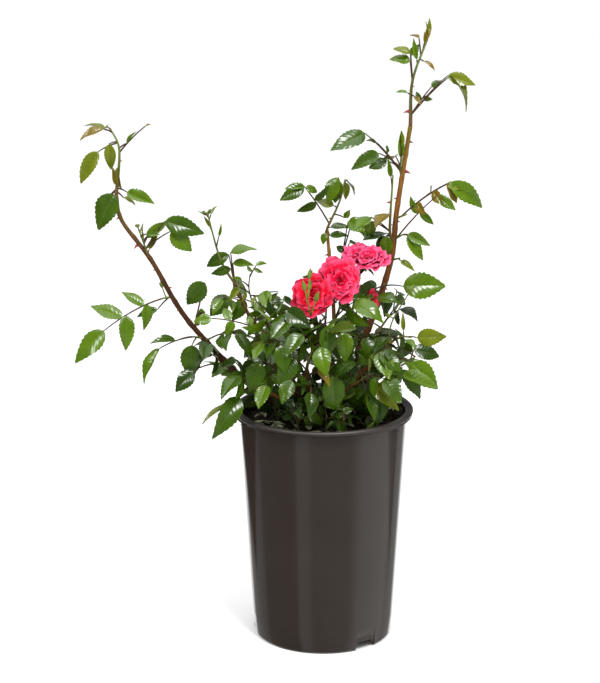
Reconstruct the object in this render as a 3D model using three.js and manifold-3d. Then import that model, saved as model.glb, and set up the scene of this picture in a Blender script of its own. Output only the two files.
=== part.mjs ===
// A rose bush in its nursery pot: canes that rise from a graft union, sprays of compound leaves
// on them, a cluster of double blooms, the root ball, and the pot. Millimetres, +Z up, the
// origin at the centre of the pot's flat underside, the bush's fullest side towards -Y.
import * as THREE from "three";
import { mergeVertices } from "three/addons/utils/BufferGeometryUtils.js";
import Module from "manifold-3d";

const wasm = await Module();
wasm.setup();

// ---------------------------------------------------------------- driving dimensions

const POT_HEIGHT = 250;
const LIP_RADIUS = 95;
const LIP_DEPTH = 7;
const LIP_ROLL = 2.2; // radius that the lip's edge is rolled to
const FOOT_EDGE = 3; // bevel round the foot
const WALL_TOP_RADIUS = 88.5;
const WALL_FOOT_RADIUS = 74.5;
const WALL = 2.2;
const FLOOR = 4;
const DRAIN_DEPTH = 16; // how far a drain cut runs in from the wall's foot
const DRAIN_WIDTH = 19;
const DRAIN_HEIGHT = 9;
const DRAIN_BEARINGS = [298, 208, 118, 28];
const ROUND = 36; // segments round the pot
const CLEAR = 0.3; // the gap that touching pieces keep
const SHORTEST_EDGE = 0.005; // joints leave no edge shorter than this

const SOIL_TOP = 235.7; // level of the soil round the stock
const STOCK_RADIUS = 15;
const STOCK_HEIGHT = 20;
const STOCK_ROUND = 14; // segments round the stock
const ROOT_ROOM = 0.7; // between the root ball and the wall
const BALL_EDGE = 8; // how far in its worn edges start
const CANE_STEP = 26; // length of one straight stretch of a cane's faceted side
const CANE_START = 5; // how far above the soil the canes' middle lines start, inside the stock
const STEM_GIRTH = [1.3, 0.8]; // of a spray's stem, where its row gives none
const STEM_STEP = 18;
const TWIG_SIDES = 3;
const LAST_NODE = 0.98; // how far along its stem the highest leaf or bloom stands
const PEDICEL_GIRTH = [1.2, 1.2];
const BUSHY_SEED = 11;
const LEAF_SEED = 100;

const LEAFLET_WIDTH = 0.62; // a leaflet's width, as a share of its length
const YOUNG_WIDTH = 0.42;
const LEAFLET_DEPTH = 0.7; // how deep the keel of its midrib is
const NECK = 0.5; // half the width of a side leaflet where it is sunk in its stalk
const PAIR_STAGGER = 1.7; // half the distance between the roots of a pair, along the stalk
const STALK_GIRTH = [1.2, 0.7];
const LONG_STALK = 28; // a stalk longer than this bends at its middle
const UP = new THREE.Vector3(0, 0, 1);
const LIGHT = new THREE.Vector3(0.05, -0.62, 0.78).normalize(); // where the leaves turn to

// ---------------------------------------------------------------- materials

const material = (color, roughness, metalness = 0) =>
  new THREE.MeshStandardMaterial({ color, roughness, metalness });
const potPlastic = material(0x37322e, 0.35);
const compost = material(0x1d1512, 0.95);
const wood = material(0x6b3a26, 0.6);
const leafGreen = material(0x3a6b1c, 0.4);
const bloomPink = material(0xe8264f, 0.6);

// ---------------------------------------------------------------- solids

// A closed geometry as a solid: only its positions count, and shared vertices are merged.
function solid(geometry) {
  const bare = geometry.clone();
  for (const name of Object.keys(bare.attributes)) {
    if (name !== "position") bare.deleteAttribute(name);
  }
  const merged = mergeVertices(bare, 1e-4);
  return new wasm.Manifold(
    new wasm.Mesh({
      numProp: 3,
      vertProperties: new Float32Array(merged.attributes.position.array),
      triVerts: new Uint32Array(merged.index.array),
      tolerance: SHORTEST_EDGE,
    }),
  );
}

// The same, of a geometry that bending may have turned inside out.
function facingOut(geometry) {
  const made = solid(geometry);
  if (made.volume() > 0) return made;
  const turned = geometry.clone();
  const index = turned.index.array;
  for (let i = 0; i < index.length; i += 3) {
    [index[i + 1], index[i + 2]] = [index[i + 2], index[i + 1]];
  }
  return solid(turned);
}

const joinAll = (solids) => solids.reduce((whole, next) => whole.add(next));

const largest = (body) =>
  body.decompose().reduce((best, next) => (next.volume() > best.volume() ? next : best));

// A solid as a named mesh that the exported group can hold.
function meshOf(name, body, finish) {
  const { vertProperties, triVerts, numProp } = body.getMesh();
  const positions = new Float32Array((vertProperties.length / numProp) * 3);
  for (let i = 0; i < positions.length / 3; i++) {
    positions.set(vertProperties.subarray(i * numProp, i * numProp + 3), i * 3);
  }
  const geometry = new THREE.BufferGeometry();
  geometry.setAttribute("position", new THREE.BufferAttribute(positions, 3));
  geometry.setIndex(new THREE.BufferAttribute(triVerts, 1));
  geometry.computeVertexNormals();
  const mesh = new THREE.Mesh(geometry, finish);
  mesh.name = name;
  return mesh;
}

// ---------------------------------------------------------------- seeded chance

// mulberry32: the same draws in any language that keeps to 32-bit whole numbers.
function seeded(seed) {
  let state = seed >>> 0;
  return () => {
    state = (state + 0x6d2b79f5) >>> 0;
    let t = state;
    t = Math.imul(t ^ (t >>> 15), t | 1);
    t ^= t + Math.imul(t ^ (t >>> 7), t | 61);
    return ((t ^ (t >>> 14)) >>> 0) / 4294967296;
  };
}

const spread = (chance, size) => (2 * chance() - 1) * size;

// ---------------------------------------------------------------- directions and curves

// A unit vector from a compass bearing (0 is +X, 90 is +Y) and a rise above the level, in degrees.
function heading(bearing, rise) {
  const b = THREE.MathUtils.degToRad(bearing);
  const r = THREE.MathUtils.degToRad(rise);
  return new THREE.Vector3(Math.cos(b) * Math.cos(r), Math.sin(b) * Math.cos(r), Math.sin(r));
}

// The part of vector v that stands square to a unit direction, as a unit vector.
function squareTo(direction, v) {
  return v.clone().addScaledVector(direction, -v.dot(direction)).normalize();
}

// A limb along a curve: a cylinder bent to follow it, its girth going from r0 to r1 and thickened
// by grow all over.
function limb(curve, [r0, r1], sides, steps, grow = 0) {
  const straight = new THREE.CylinderGeometry(1, 1, 1, sides, steps);
  const frames = curve.computeFrenetFrames(steps, false);
  const position = straight.attributes.position;
  for (let i = 0; i < position.count; i++) {
    const along = position.getY(i) + 0.5;
    const step = Math.round(along * steps);
    const reach = Math.hypot(position.getX(i), position.getZ(i));
    const turn = Math.atan2(position.getX(i), position.getZ(i));
    const girth = reach < 1e-6 ? 0 : r0 + (r1 - r0) * along + grow;
    const place = curve.getPointAt(along);
    if (step === 0) place.addScaledVector(frames.tangents[step], -grow);
    if (step === steps) place.addScaledVector(frames.tangents[step], grow);
    place.addScaledVector(frames.normals[step], girth * Math.cos(turn));
    place.addScaledVector(frames.binormals[step], girth * Math.sin(turn));
    position.setXYZ(i, place.x, place.y, place.z);
  }
  return facingOut(straight);
}

// ---------------------------------------------------------------- stalks and leaflets

// A stalk or leaflet is a bent three-sided cone: each ring across it has a keel below and an edge
// to each side, and it ends in a point.
function keeled(rings, tip) {
  const geometry = new THREE.ConeGeometry(1, 1, 3, rings.length);
  const position = geometry.attributes.position;
  for (let i = 0; i < position.count; i++) {
    const rank = Math.round((position.getY(i) + 0.5) * rings.length);
    const onAxis = Math.hypot(position.getX(i), position.getZ(i)) < 1e-6;
    const turn = Math.atan2(position.getX(i), position.getZ(i)) / (2 * Math.PI);
    const corner = Math.round(3 * turn + 3) % 3;
    let place = tip;
    if (rank < rings.length) {
      const [keel, left, right] = rings[rank];
      const middle = keel.clone().add(left).add(right).divideScalar(3);
      place = onAxis ? middle : [keel, left, right][corner];
    }
    position.setXYZ(i, place.x, place.y, place.z);
  }
  return facingOut(geometry);
}

// One ring: its middle, the way it looks, the way its upper side turns, and its half width, depth
// and lift. grow thickens it all over.
function ring(middle, direction, up, halfWidth, depth, lift, grow) {
  const side = direction.clone().cross(up).normalize();
  const edge = (hand) =>
    middle.clone().addScaledVector(side, hand * (halfWidth + grow)).addScaledVector(up, lift + grow);
  const keel = middle.clone().addScaledVector(up, -depth - grow);
  return [keel, edge(-1), edge(1)];
}

// How wide a leaflet is, as shares of its width, at shares of its length.
const BROAD = [
  [0.26, 0.47],
  [0.68, 0.4],
];
const NARROW = [[0.42, 0.5]];
const SMALL_LEAFLET = 31; // a leaflet shorter than this has the simpler outline

function leafletRings({ root, direction, up, length, width, fold, droop }, grow) {
  const outline = length < SMALL_LEAFLET ? NARROW : BROAD;
  return outline.map(([along, share]) => {
    const middle = root.clone().addScaledVector(direction, along * length);
    middle.addScaledVector(up, -droop * length * along * along);
    return ring(middle, direction, up, share * width, LEAFLET_DEPTH, fold * share * width, grow);
  });
}

function leafletTip({ root, direction, up, length, droop }, grow) {
  const tip = root.clone().addScaledVector(direction, length + grow);
  return tip.addScaledVector(up, -droop * length);
}

// A side leaflet, from a root that is sunk in its stalk.
function sideLeaflet(leaflet, grow = 0) {
  const { root, direction, up } = leaflet;
  const neck = ring(root, direction, up, NECK, NECK, 0.4 * NECK, grow);
  return keeled([neck, ...leafletRings(leaflet, grow)], leafletTip(leaflet, grow));
}

// A stalk that ends in its own leaflet, in one piece.
function stalkWithLeaflet(stalk, leaflet, grow = 0) {
  const steps = stalk.getLength() < LONG_STALK ? 1 : 2;
  const rings = [];
  for (let k = 0; k <= steps; k++) {
    const along = k / steps;
    const tangent = stalk.getTangentAt(along);
    const girth = STALK_GIRTH[0] + (STALK_GIRTH[1] - STALK_GIRTH[0]) * along;
    const up = squareTo(tangent, LIGHT);
    rings.push(ring(stalk.getPointAt(along), tangent, up, 0.87 * girth, girth, 0.5 * girth, grow));
  }
  return keeled([...rings, ...leafletRings(leaflet, grow)], leafletTip(leaflet, grow));
}

// ---------------------------------------------------------------- compound leaves

const PAIR_PLACES = { 0: [], 1: [0.55], 2: [0.66, 0.3], 3: [0.72, 0.42, 0.12] };
const PAIR_SIZES = [0.8, 0.64, 0.5];
const SHINGLE = 0.3; // how far each leaflet of a pair tilts over the next, so that none cut in

// One rose leaf: a stalk that arches from its shoot, with a leaflet at its end and pairs along it.
// The plan gives the stalk's curve and how each leaflet lies, the end one first.
function leafPlan(base, leaf, chance) {
  const { bearing, rise, length, leaflets, size, fall, young } = leaf;
  const towards = heading(bearing, rise);
  const end = base.clone().addScaledVector(towards, length);
  const crest = base.clone().addScaledVector(towards, 0.5 * length);
  crest.addScaledVector(UP, 0.12 * length * Math.cos(THREE.MathUtils.degToRad(rise)));
  const stalk = new THREE.QuadraticBezierCurve3(base, crest, end);
  const facing = LIGHT.clone().addScaledVector(heading(bearing, 0), 0.25);
  const roll = THREE.MathUtils.degToRad(spread(chance, 28));
  const plan = [];
  const place = (root, direction, scale, tilted) => {
    const grown = scale * size * (1 + spread(chance, 0.08));
    const up = squareTo(direction, tilted).applyAxisAngle(direction, spread(chance, 0.1));
    const width = (young ? YOUNG_WIDTH : LEAFLET_WIDTH) * grown;
    const fold = young ? 0.5 : 0.16;
    const droop = 0.12 + spread(chance, 0.08);
    plan.push({ root, direction, up, length: grown, width, fold, droop });
  };
  const endWay = heading(bearing + spread(chance, 8), rise - fall);
  place(end, endWay, 1, squareTo(endWay, facing).applyAxisAngle(endWay, roll));
  PAIR_PLACES[(leaflets - 1) / 2].forEach((at, rank) => {
    const tangent = stalk.getTangent(at);
    const up = squareTo(tangent, facing).applyAxisAngle(tangent, roll);
    const side = tangent.clone().cross(up);
    for (const hand of [1, -1]) {
      const direction = tangent.clone().multiplyScalar(0.45 + spread(chance, 0.12));
      direction.addScaledVector(side, hand).addScaledVector(UP, -0.22 - 0.006 * fall);
      const tilted = up.clone().addScaledVector(tangent, -SHINGLE);
      const root = stalk.getPoint(at).addScaledVector(tangent, hand * PAIR_STAGGER);
      place(root, direction.normalize(), PAIR_SIZES[rank], tilted);
    }
  });
  return { stalk, plan };
}

// ---------------------------------------------------------------- what grows where

// Canes rise from the stock. from is where one starts on the soil's level, girth its radius at
// the foot and at the tip, and course its stretches: bearing, rise, length.
const CANES = {
  left_cane: {
    from: [-7, -2], girth: [3.7, 1.9],
    course: [[186, 22, 60], [189, 47, 112], [193, 60, 80], [174, 54, 50], [160, 78, 27]],
  },
  left_inner_cane: {
    from: [-6, 6], girth: [2.8, 1.7],
    course: [[165, 49, 54], [153, 54, 76], [160, 66, 30]],
  },
  middle_cane: {
    from: [0, 8], girth: [2.7, 1.6],
    course: [[67, 70, 87], [109, 78, 110]],
  },
  bloom_cane: {
    from: [1, -6], girth: [2.8, 1.9],
    course: [[285, 76, 43], [248, 67, 61]],
  },
  right_cane: {
    from: [7, 4], girth: [4.1, 2.2],
    course: [[7, 68, 23], [31, 61, 80], [24, 70, 72], [10, 84, 55], [334, 81, 90]],
  },
  right_low_cane: {
    from: [8, -3], girth: [2.6, 1.7],
    course: [[330, 58, 46], [340, 48, 35], [354, 48, 31]],
  },
  low_left_cane: {
    from: [-11, -5], girth: [2.4, 1.6],
    course: [[211, 33, 56], [218, 26, 27]],
  },
  front_left_cane: {
    from: [-5, -9], girth: [2.4, 1.6],
    course: [[212, 50, 60], [228, 63, 53]],
  },
  front_cane: {
    from: [1, -12], girth: [2.3, 1.5],
    course: [[235, 55, 49], [260, 64, 28], [327, 70, 22]],
  },
  front_right_cane: {
    from: [9, -9], girth: [2.3, 1.5],
    course: [[290, 48, 47], [323, 39, 26]],
  },
  back_left_cane: {
    from: [-9, 10], girth: [2.5, 1.5],
    course: [[140, 46, 60], [128, 56, 42]],
  },
  back_cane: {
    from: [3, 13], girth: [2.5, 1.5],
    course: [[95, 50, 58], [82, 62, 40]],
  },
  back_right_cane: {
    from: [10, 9], girth: [2.5, 1.5],
    course: [[48, 44, 62], [38, 54, 38]],
  },
  side_right_cane: {
    from: [13, 2], girth: [2.3, 1.4],
    course: [[352, 36, 52], [8, 42, 30]],
  },
};

// Sprays grow on a cane, at a fraction of its length. A leaf's row reads: fraction of the stem,
// bearing, rise, stalk, leaflets, size of the end leaflet, fall of that leaflet, young or not.
// A bloom's row reads: fraction, bearing, rise, stalk, radius, and the bearing and rise it faces.
const YOUNG = true;
const SPRAYS = {
  left_tip: {
    on: "left_cane", at: 1, girth: [1.9, 0.8], course: [[0, 85, 46], [193, 69, 24]],
    leaves: [
      [0.67, 210, 30, 23, 5, 24, 60],
      [0.07, 250, -30, 29, 3, 40, 60],
      [0.09, 330, 5, 14, 3, 30, 50],
      [0.68, 15, 50, 27, 1, 18, 10, YOUNG],
      [0.64, 350, 55, 17, 1, 12, 0, YOUNG],
      [0.98, 200, 30, 13, 3, 17, 60, YOUNG],
      [1, 115, 5, 9, 1, 16, 10, YOUNG],
    ],
  },
  left_mid_spray: {
    on: "left_cane", at: 0.78, girth: [1.3, 0.6], course: [[211, 70, 29]],
    leaves: [
      [0.18, 330, 50, 37, 5, 30, 60],
      [0.7, 20, 50, 24, 1, 14, 50, YOUNG],
      [1, 110, 25, 6, 1, 12, 10, YOUNG],
      [0.8, 340, 25, 7, 1, 14, 20, YOUNG],
    ],
  },
  left_long_leaf: {
    on: "left_cane", at: 0.63, course: [[215, 0, 13]],
    leaves: [[0.8, 205, -15, 64, 7, 40, 25]],
  },
  left_arch_leaf: {
    on: "left_cane", at: 0.5, course: [[76, 72, 15]],
    leaves: [
      [0.8, 350, 60, 54, 3, 32, 80],
      [0.95, 310, 65, 43, 1, 30, 80],
    ],
  },
  left_low_leaf: {
    on: "left_cane", at: 0.46, course: [[228, 18, 17]],
    leaves: [
      [0.85, 215, 0, 42, 5, 34, 40],
      [0.62, 260, 60, 20, 3, 20, 40],
    ],
  },
  left_inward_leaf: {
    on: "left_cane", at: 0.45, course: [[317, 28, 17]],
    leaves: [[0.85, 315, 15, 36, 5, 30, 50]],
  },
  left_curl_leaf: {
    on: "left_cane", at: 0.35, course: [[225, 7, 14]],
    leaves: [[0.8, 220, 0, 35, 3, 30, 70]],
  },
  inner_left_tip: {
    on: "left_inner_cane", at: 1, girth: [1.5, 0.7], course: [[180, 60, 34], [188, 75, 54]],
    leaves: [
      [0.05, 105, 70, 40, 7, 25, 80],
      [0.58, 295, 70, 20, 1, 14, 0, YOUNG],
      [0.96, 250, 15, 9, 1, 12, -20, YOUNG],
      [0.92, 55, 35, 9, 1, 12, 40, YOUNG],
    ],
  },
  left_young_shoot: {
    on: "left_inner_cane", at: 0.7, girth: [1.2, 0.6],
    course: [[257, 69, 23], [218, 74, 24], [301, 82, 17]],
    leaves: [
      [0.78, 245, 30, 18, 1, 16, 0, YOUNG],
      [0.66, 230, 30, 19, 3, 20, 60, YOUNG],
      [0.62, 300, 5, 22, 3, 18, 60, YOUNG],
      [0.96, 30, 55, 13, 3, 13, 40, YOUNG],
    ],
  },
  left_inner_leaf: {
    on: "left_inner_cane", at: 0.64, course: [[280, 60, 28]],
    leaves: [
      [0.9, 275, 65, 36, 5, 24, 90],
      [0.5, 295, 15, 36, 3, 32, 40],
    ],
  },
  middle_tip: {
    on: "middle_cane", at: 1, girth: [1.4, 0.7], course: [[12, 65, 33], [11, 77, 23]],
    leaves: [
      [0.1, 160, 60, 55, 5, 27, 60],
      [0.6, 280, 70, 30, 5, 26, 110],
      [0.63, 40, 30, 26, 1, 16, 10, YOUNG],
      [0.44, 255, 25, 19, 1, 20, 60],
      [0.12, 35, -5, 21, 3, 19, 30],
    ],
  },
  middle_right_leaf: {
    on: "middle_cane", at: 0.72, course: [[40, 56, 28]],
    leaves: [[0.9, 40, 55, 36, 5, 20, 80]],
  },
  bloom_left: {
    on: "bloom_cane", at: 1, girth: [1.6, 1.3], course: [[170, 80, 24], [210, 75, 16]],
    leaves: [
      [0.25, 220, 25, 38, 3, 34, 60],
      [0.3, 285, 5, 34, 3, 32, 70],
    ],
    blooms: [[1, 240, 60, 3, 23, 262, 25]],
  },
  bloom_centre: {
    on: "bloom_cane", at: 0.84, girth: [1.5, 1.2], course: [[31, 60, 42], [5, 75, 34]],
    leaves: [
      [0.45, 320, 40, 33, 3, 36, 60],
      [0.25, 290, 10, 36, 3, 30, 70],
    ],
    blooms: [[1, 290, 60, 4, 21, 280, 35]],
  },
  bloom_right: {
    on: "bloom_cane", at: 0.63, girth: [1.5, 1.2], course: [[37, 47, 29], [38, 60, 31], [50, 72, 50]],
    leaves: [
      [0.5, 335, 40, 40, 3, 24, 40],
      [0.3, 310, 10, 34, 3, 28, 60],
    ],
    blooms: [
      [1, 300, 70, 6, 26, 325, 62],
      [0.62, 300, 40, 14, 16, 300, -5],
    ],
  },
  right_tip: {
    on: "right_cane", at: 1, girth: [2.1, 0.8], course: [[303, 87, 47], [352, 71, 46]],
    leaves: [
      [0.12, 335, 50, 62, 5, 30, 70],
      [0.59, 125, 70, 25, 5, 17, 80],
      [0.81, 100, 50, 22, 3, 12, 60, YOUNG],
      [0.81, 295, 0, 18, 1, 12, 50, YOUNG],
      [0.98, 320, 80, 17, 1, 13, 0, YOUNG],
      [0.96, 15, 65, 17, 1, 14, -5, YOUNG],
      [0.91, 80, 60, 16, 1, 12, 0, YOUNG],
      [0.35, 300, 15, 17, 1, 12, 40, YOUNG],
    ],
  },
  right_upper_left_leaf: {
    on: "right_cane", at: 0.83, course: [[239, 63, 10], [285, 65, 15]],
    leaves: [
      [0.31, 200, 45, 60, 5, 36, 45],
      [0.79, 285, 80, 26, 1, 16, 0, YOUNG],
      [0.53, 110, 35, 15, 1, 14, 40],
    ],
  },
  right_side_shoot: {
    on: "right_cane", at: 0.61, girth: [1.7, 0.8], course: [[236, 60, 17], [285, 82, 60]],
    leaves: [
      [0.83, 240, 65, 28, 3, 30, 80],
      [0.5, 245, 15, 22, 1, 24, 20],
      [0.27, 240, 10, 39, 3, 26, 60],
    ],
  },
  right_long_leaf: {
    on: "right_cane", at: 0.69, course: [[318, 23, 16]],
    leaves: [
      [0.8, 330, 30, 80, 7, 32, 30],
      [0.5, 15, 45, 56, 5, 22, 40],
    ],
  },
  right_outer_leaf: {
    on: "right_cane", at: 0.62, course: [[309, 28, 16]],
    leaves: [[0.9, 305, -15, 21, 5, 26, 40]],
  },
  right_small_leaf: {
    on: "right_cane", at: 0.55, course: [[315, 18, 13]],
    leaves: [[0.8, 305, 0, 14, 3, 18, 40]],
  },
  right_large_leaf: {
    on: "right_cane", at: 0.47, course: [[265, 0, 15]],
    leaves: [
      [0.8, 305, 20, 25, 3, 42, 10],
      [0.9, 235, 10, 23, 3, 20, 40],
      [0.9, 270, -10, 28, 1, 20, 60],
    ],
  },
  right_low_tip: {
    on: "right_low_cane", at: 1, girth: [1.4, 0.8], course: [[350, 23, 12], [342, -5, 8]],
    leaves: [
      [0.8, 325, 10, 20, 5, 28, 20],
      [0.6, 80, 0, 14, 1, 24, -10, YOUNG],
      [0.3, 235, 15, 22, 3, 24, 40],
    ],
  },
  right_bud_stem: {
    on: "right_low_cane", at: 0.93, girth: [0.9, 0.6], course: [[55, 73, 25], [14, 59, 33]],
    leaves: [],
  },
  right_low_leaf: {
    on: "right_low_cane", at: 0.84, course: [[305, -5, 17]],
    leaves: [
      [0.82, 295, 10, 23, 5, 34, 40],
      [0.62, 285, -15, 31, 3, 28, 50],
    ],
  },
  right_front_leaf: {
    on: "right_low_cane", at: 0.7, course: [[288, 32, 17]],
    leaves: [[0.88, 280, 30, 29, 3, 32, 70]],
  },
  right_long_low_leaf: {
    on: "right_low_cane", at: 0.57, course: [[310, -9, 24]],
    leaves: [
      [0.87, 320, 10, 38, 5, 34, 20],
      [0.6, 280, -10, 34, 3, 32, 60],
    ],
  },
  low_left_tip: {
    on: "low_left_cane", at: 1, girth: [1.4, 0.8], course: [[221, 26, 13]],
    leaves: [
      [0.75, 250, -10, 21, 3, 40, 60],
      [0.9, 230, 45, 18, 3, 32, 70],
      [0.5, 210, -20, 32, 1, 28, 10, YOUNG],
      [0.4, 150, 50, 30, 3, 28, 60],
    ],
  },
  front_left_tip: {
    on: "front_left_cane", at: 1, girth: [1.4, 0.8], course: [[225, 70, 17]],
    leaves: [
      [0.85, 264, 48, 24, 3, 38, 20],
      [0.5, 178, 15, 61, 5, 19, 20],
      [0.2, 290, 0, 31, 3, 28, 60],
      [0.9, 330, 45, 30, 3, 30, 70],
    ],
  },
  front_left_side: {
    on: "front_left_cane", at: 0.69, course: [[236, 13, 12]],
    leaves: [
      [0.85, 225, 25, 25, 3, 32, 90],
      [0.6, 175, -40, 21, 3, 26, 40],
      [0.9, 250, -25, 28, 3, 26, 20],
    ],
  },
  front_tip: {
    on: "front_cane", at: 1, girth: [1.3, 0.8], course: [[327, 64, 16]],
    leaves: [
      [0.85, 310, 35, 24, 3, 32, 20],
      [0.45, 235, 30, 29, 3, 28, 60],
      [0.3, 280, 10, 28, 3, 30, 60],
    ],
  },
  front_low_leaf: {
    on: "front_cane", at: 0.7, course: [[292, 9, 12]],
    leaves: [
      [0.75, 300, 10, 40, 3, 38, 95],
      [0.5, 235, 40, 38, 3, 36, 90],
      [0.75, 240, 5, 40, 3, 28, 60],
      [0.9, 270, -15, 36, 3, 26, 30],
      [1, 295, 30, 23, 1, 22, 60, YOUNG],
    ],
  },
  front_right_tip: {
    on: "front_right_cane", at: 1, girth: [1.3, 0.8], course: [[323, 39, 13]],
    leaves: [
      [0.85, 315, 5, 26, 3, 30, 40],
      [0.5, 275, -15, 20, 1, 36, 5],
      [0.3, 245, -15, 26, 3, 30, 30],
      [0.5, 235, 50, 29, 3, 28, 60],
      [0.95, 330, 60, 30, 3, 28, 90],
    ],
  },
};

// Round the back and the side the canes are bushy: every one has a spray at its tip and one
// half way up, which leans aside. Their leaves stand in a spiral.
const BUSHY_CANES = ["back_left_cane", "back_cane", "back_right_cane", "side_right_cane"];
const BUSHY_LEAVES = 4;
const BUSHY_TIP = { at: 1, stretch: 45, lean: 0 };
const BUSHY_SIDE = { at: 0.55, stretch: 35, lean: 70 };
const SPIRAL = 137.5;
function bushySpray(cane, { at, stretch, lean }, chance) {
  const [bearing, rise] = CANES[cane].course[1];
  const leaves = [];
  for (let i = 0; i < BUSHY_LEAVES; i++) {
    const along = 0.2 + (0.8 * i) / (BUSHY_LEAVES - 1);
    const turn = bearing + lean + SPIRAL * (i + 1) + spread(chance, 15);
    const size = 30 + spread(chance, 6);
    const lift = 20 + spread(chance, 20);
    const stalk = 30 + spread(chance, 8);
    const fall = 50 + spread(chance, 20);
    leaves.push([along, turn, lift, stalk, 3, size, fall]);
  }
  return { on: cane, at, course: [[bearing + lean, rise - 10, stretch]], leaves };
}

// ---------------------------------------------------------------- growing

// The curve that a limb follows from a start, one stretch after another.
function courseFrom(start, course) {
  const points = [start.clone()];
  for (const [bearing, rise, length] of course) {
    points.push(points.at(-1).clone().addScaledVector(heading(bearing, rise), length));
  }
  return new THREE.CatmullRomCurve3(points, false, "catmullrom", 0.5);
}

const overlaps = (a, b) =>
  a.min.every((low, k) => low <= b.max[k]) && b.min.every((low, k) => low <= a.max[k]);

// Every solid that stands so far, with its box, so that what grows next can be tested against it.
const standing = new Map();
const stand = (name, body) => standing.set(name, { body, box: body.boundingBox() });

function isFree(body, ...exceptNames) {
  const box = body.boundingBox();
  return [...standing].every(
    ([name, other]) =>
      exceptNames.includes(name) ||
      !overlaps(box, other.box) ||
      body.intersect(other.body).isEmpty(),
  );
}

// A bloom is a shallow cup pressed out of a ball, its rim waved by the outer petals.
const PETAL_WAVES = 5;
function bloomSolid(centre, axis, radius) {
  const geometry = new THREE.SphereGeometry(1, 12, 5);
  const across = squareTo(axis, new THREE.Vector3(1, 0.1, 0));
  const third = axis.clone().cross(across);
  const position = geometry.attributes.position;
  for (let i = 0; i < position.count; i++) {
    const turn = Math.atan2(position.getZ(i), position.getX(i));
    const reach = Math.hypot(position.getX(i), position.getZ(i));
    const wave = 1 + 0.08 * Math.cos(PETAL_WAVES * turn) * reach;
    const height = position.getY(i) > 0 ? 0.5 : 0.62;
    const place = centre.clone();
    place.addScaledVector(across, radius * wave * reach * Math.cos(turn));
    place.addScaledVector(third, radius * wave * reach * Math.sin(turn));
    place.addScaledVector(axis, radius * height * position.getY(i));
    position.setXYZ(i, place.x, place.y, place.z);
  }
  return facingOut(geometry);
}

// The stem of a spray, cut clear of its cane, with its blooms, cut clear of each other.
const bloomRooms = [];
function stemWithBlooms({ on, girth = STEM_GIRTH, blooms = [] }, curve) {
  const steps = Math.max(2, Math.round(curve.getLength() / STEM_STEP));
  const pieces = [largest(limb(curve, girth, TWIG_SIDES, steps).subtract(canes[on].room))];
  const rooms = [];
  for (const [along, bearing, rise, length, radius, faceBearing, faceRise] of blooms) {
    const axis = heading(faceBearing, faceRise);
    const start = curve.getPointAt(Math.min(along, LAST_NODE));
    const base = start.clone().addScaledVector(heading(bearing, rise), length);
    const centre = base.addScaledVector(axis, 0.4 * radius);
    const pedicel = limb(new THREE.LineCurve3(start, centre), PEDICEL_GIRTH, TWIG_SIDES, 1);
    const whole = pedicel.add(bloomSolid(centre, axis, radius));
    pieces.push(bloomRooms.reduce((rest, room) => rest.subtract(room), whole));
    rooms.push(bloomSolid(centre, axis, radius + 2 * CLEAR));
  }
  bloomRooms.push(...rooms);
  return largest(joinAll(pieces));
}

// A spray with its leaves on. A leaflet or leaf that has no room is left out.
function growSpray(name, { on, leaves }, curve, stem, seed) {
  const chance = seeded(seed);
  const pieces = [stem];
  for (const [along, bearing, rise, length, leaflets, size, fall, young = false] of leaves) {
    const base = curve.getPointAt(Math.min(along, LAST_NODE));
    const leaf = { bearing, rise, length, leaflets, size, fall, young };
    const { stalk, plan } = leafPlan(base, leaf, chance);
    const [endLeaflet, ...sideLeaflets] = plan;
    const fits = isFree(sideLeaflet(endLeaflet, CLEAR), name);
    if (!fits || !isFree(stalkWithLeaflet(stalk, endLeaflet, CLEAR), name, on)) continue;
    const grownHere = pieces.slice(1);
    pieces.push(stalkWithLeaflet(stalk, endLeaflet));
    for (const leaflet of sideLeaflets) {
      const room = sideLeaflet(leaflet, CLEAR);
      if (isFree(room, name) && grownHere.every((piece) => room.intersect(piece).isEmpty())) {
        pieces.push(sideLeaflet(leaflet));
      }
    }
  }
  return largest(joinAll(pieces).subtract(canes[on].room));
}

// ---------------------------------------------------------------- the pot and what fills it

// An outline of [radius, height] points turned round the upright axis.
function turnedSolid(outline, sides) {
  const points = outline.map(([radius, height]) => new THREE.Vector2(radius, height));
  return facingOut(new THREE.LatheGeometry(points, sides).rotateX(Math.PI / 2));
}

// The thin-walled pot: a turned profile with a rolled lip, and drain cuts round the foot.
function potSolid() {
  const lipFoot = POT_HEIGHT - LIP_DEPTH;
  const pot = turnedSolid(
    [
      [0, 0],
      [WALL_FOOT_RADIUS - FOOT_EDGE, 0],
      [WALL_FOOT_RADIUS, FOOT_EDGE],
      [WALL_TOP_RADIUS, lipFoot],
      [LIP_RADIUS - LIP_ROLL / 2, lipFoot],
      [LIP_RADIUS, lipFoot + LIP_ROLL / 2],
      [LIP_RADIUS, POT_HEIGHT - LIP_ROLL],
      [LIP_RADIUS - LIP_ROLL, POT_HEIGHT],
      [WALL_TOP_RADIUS - WALL / 2, POT_HEIGHT - LIP_ROLL / 2],
      [WALL_FOOT_RADIUS - WALL, FLOOR],
      [0, FLOOR],
    ],
    ROUND,
  );
  const cuts = [];
  for (const bearing of DRAIN_BEARINGS) {
    const cut = new THREE.BoxGeometry(2 * DRAIN_DEPTH, DRAIN_WIDTH, 2 * DRAIN_HEIGHT);
    cut.translate(WALL_FOOT_RADIUS, 0, 0);
    cut.rotateZ(THREE.MathUtils.degToRad(bearing));
    cuts.push(solid(cut));
  }
  return pot.subtract(joinAll(cuts));
}

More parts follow.
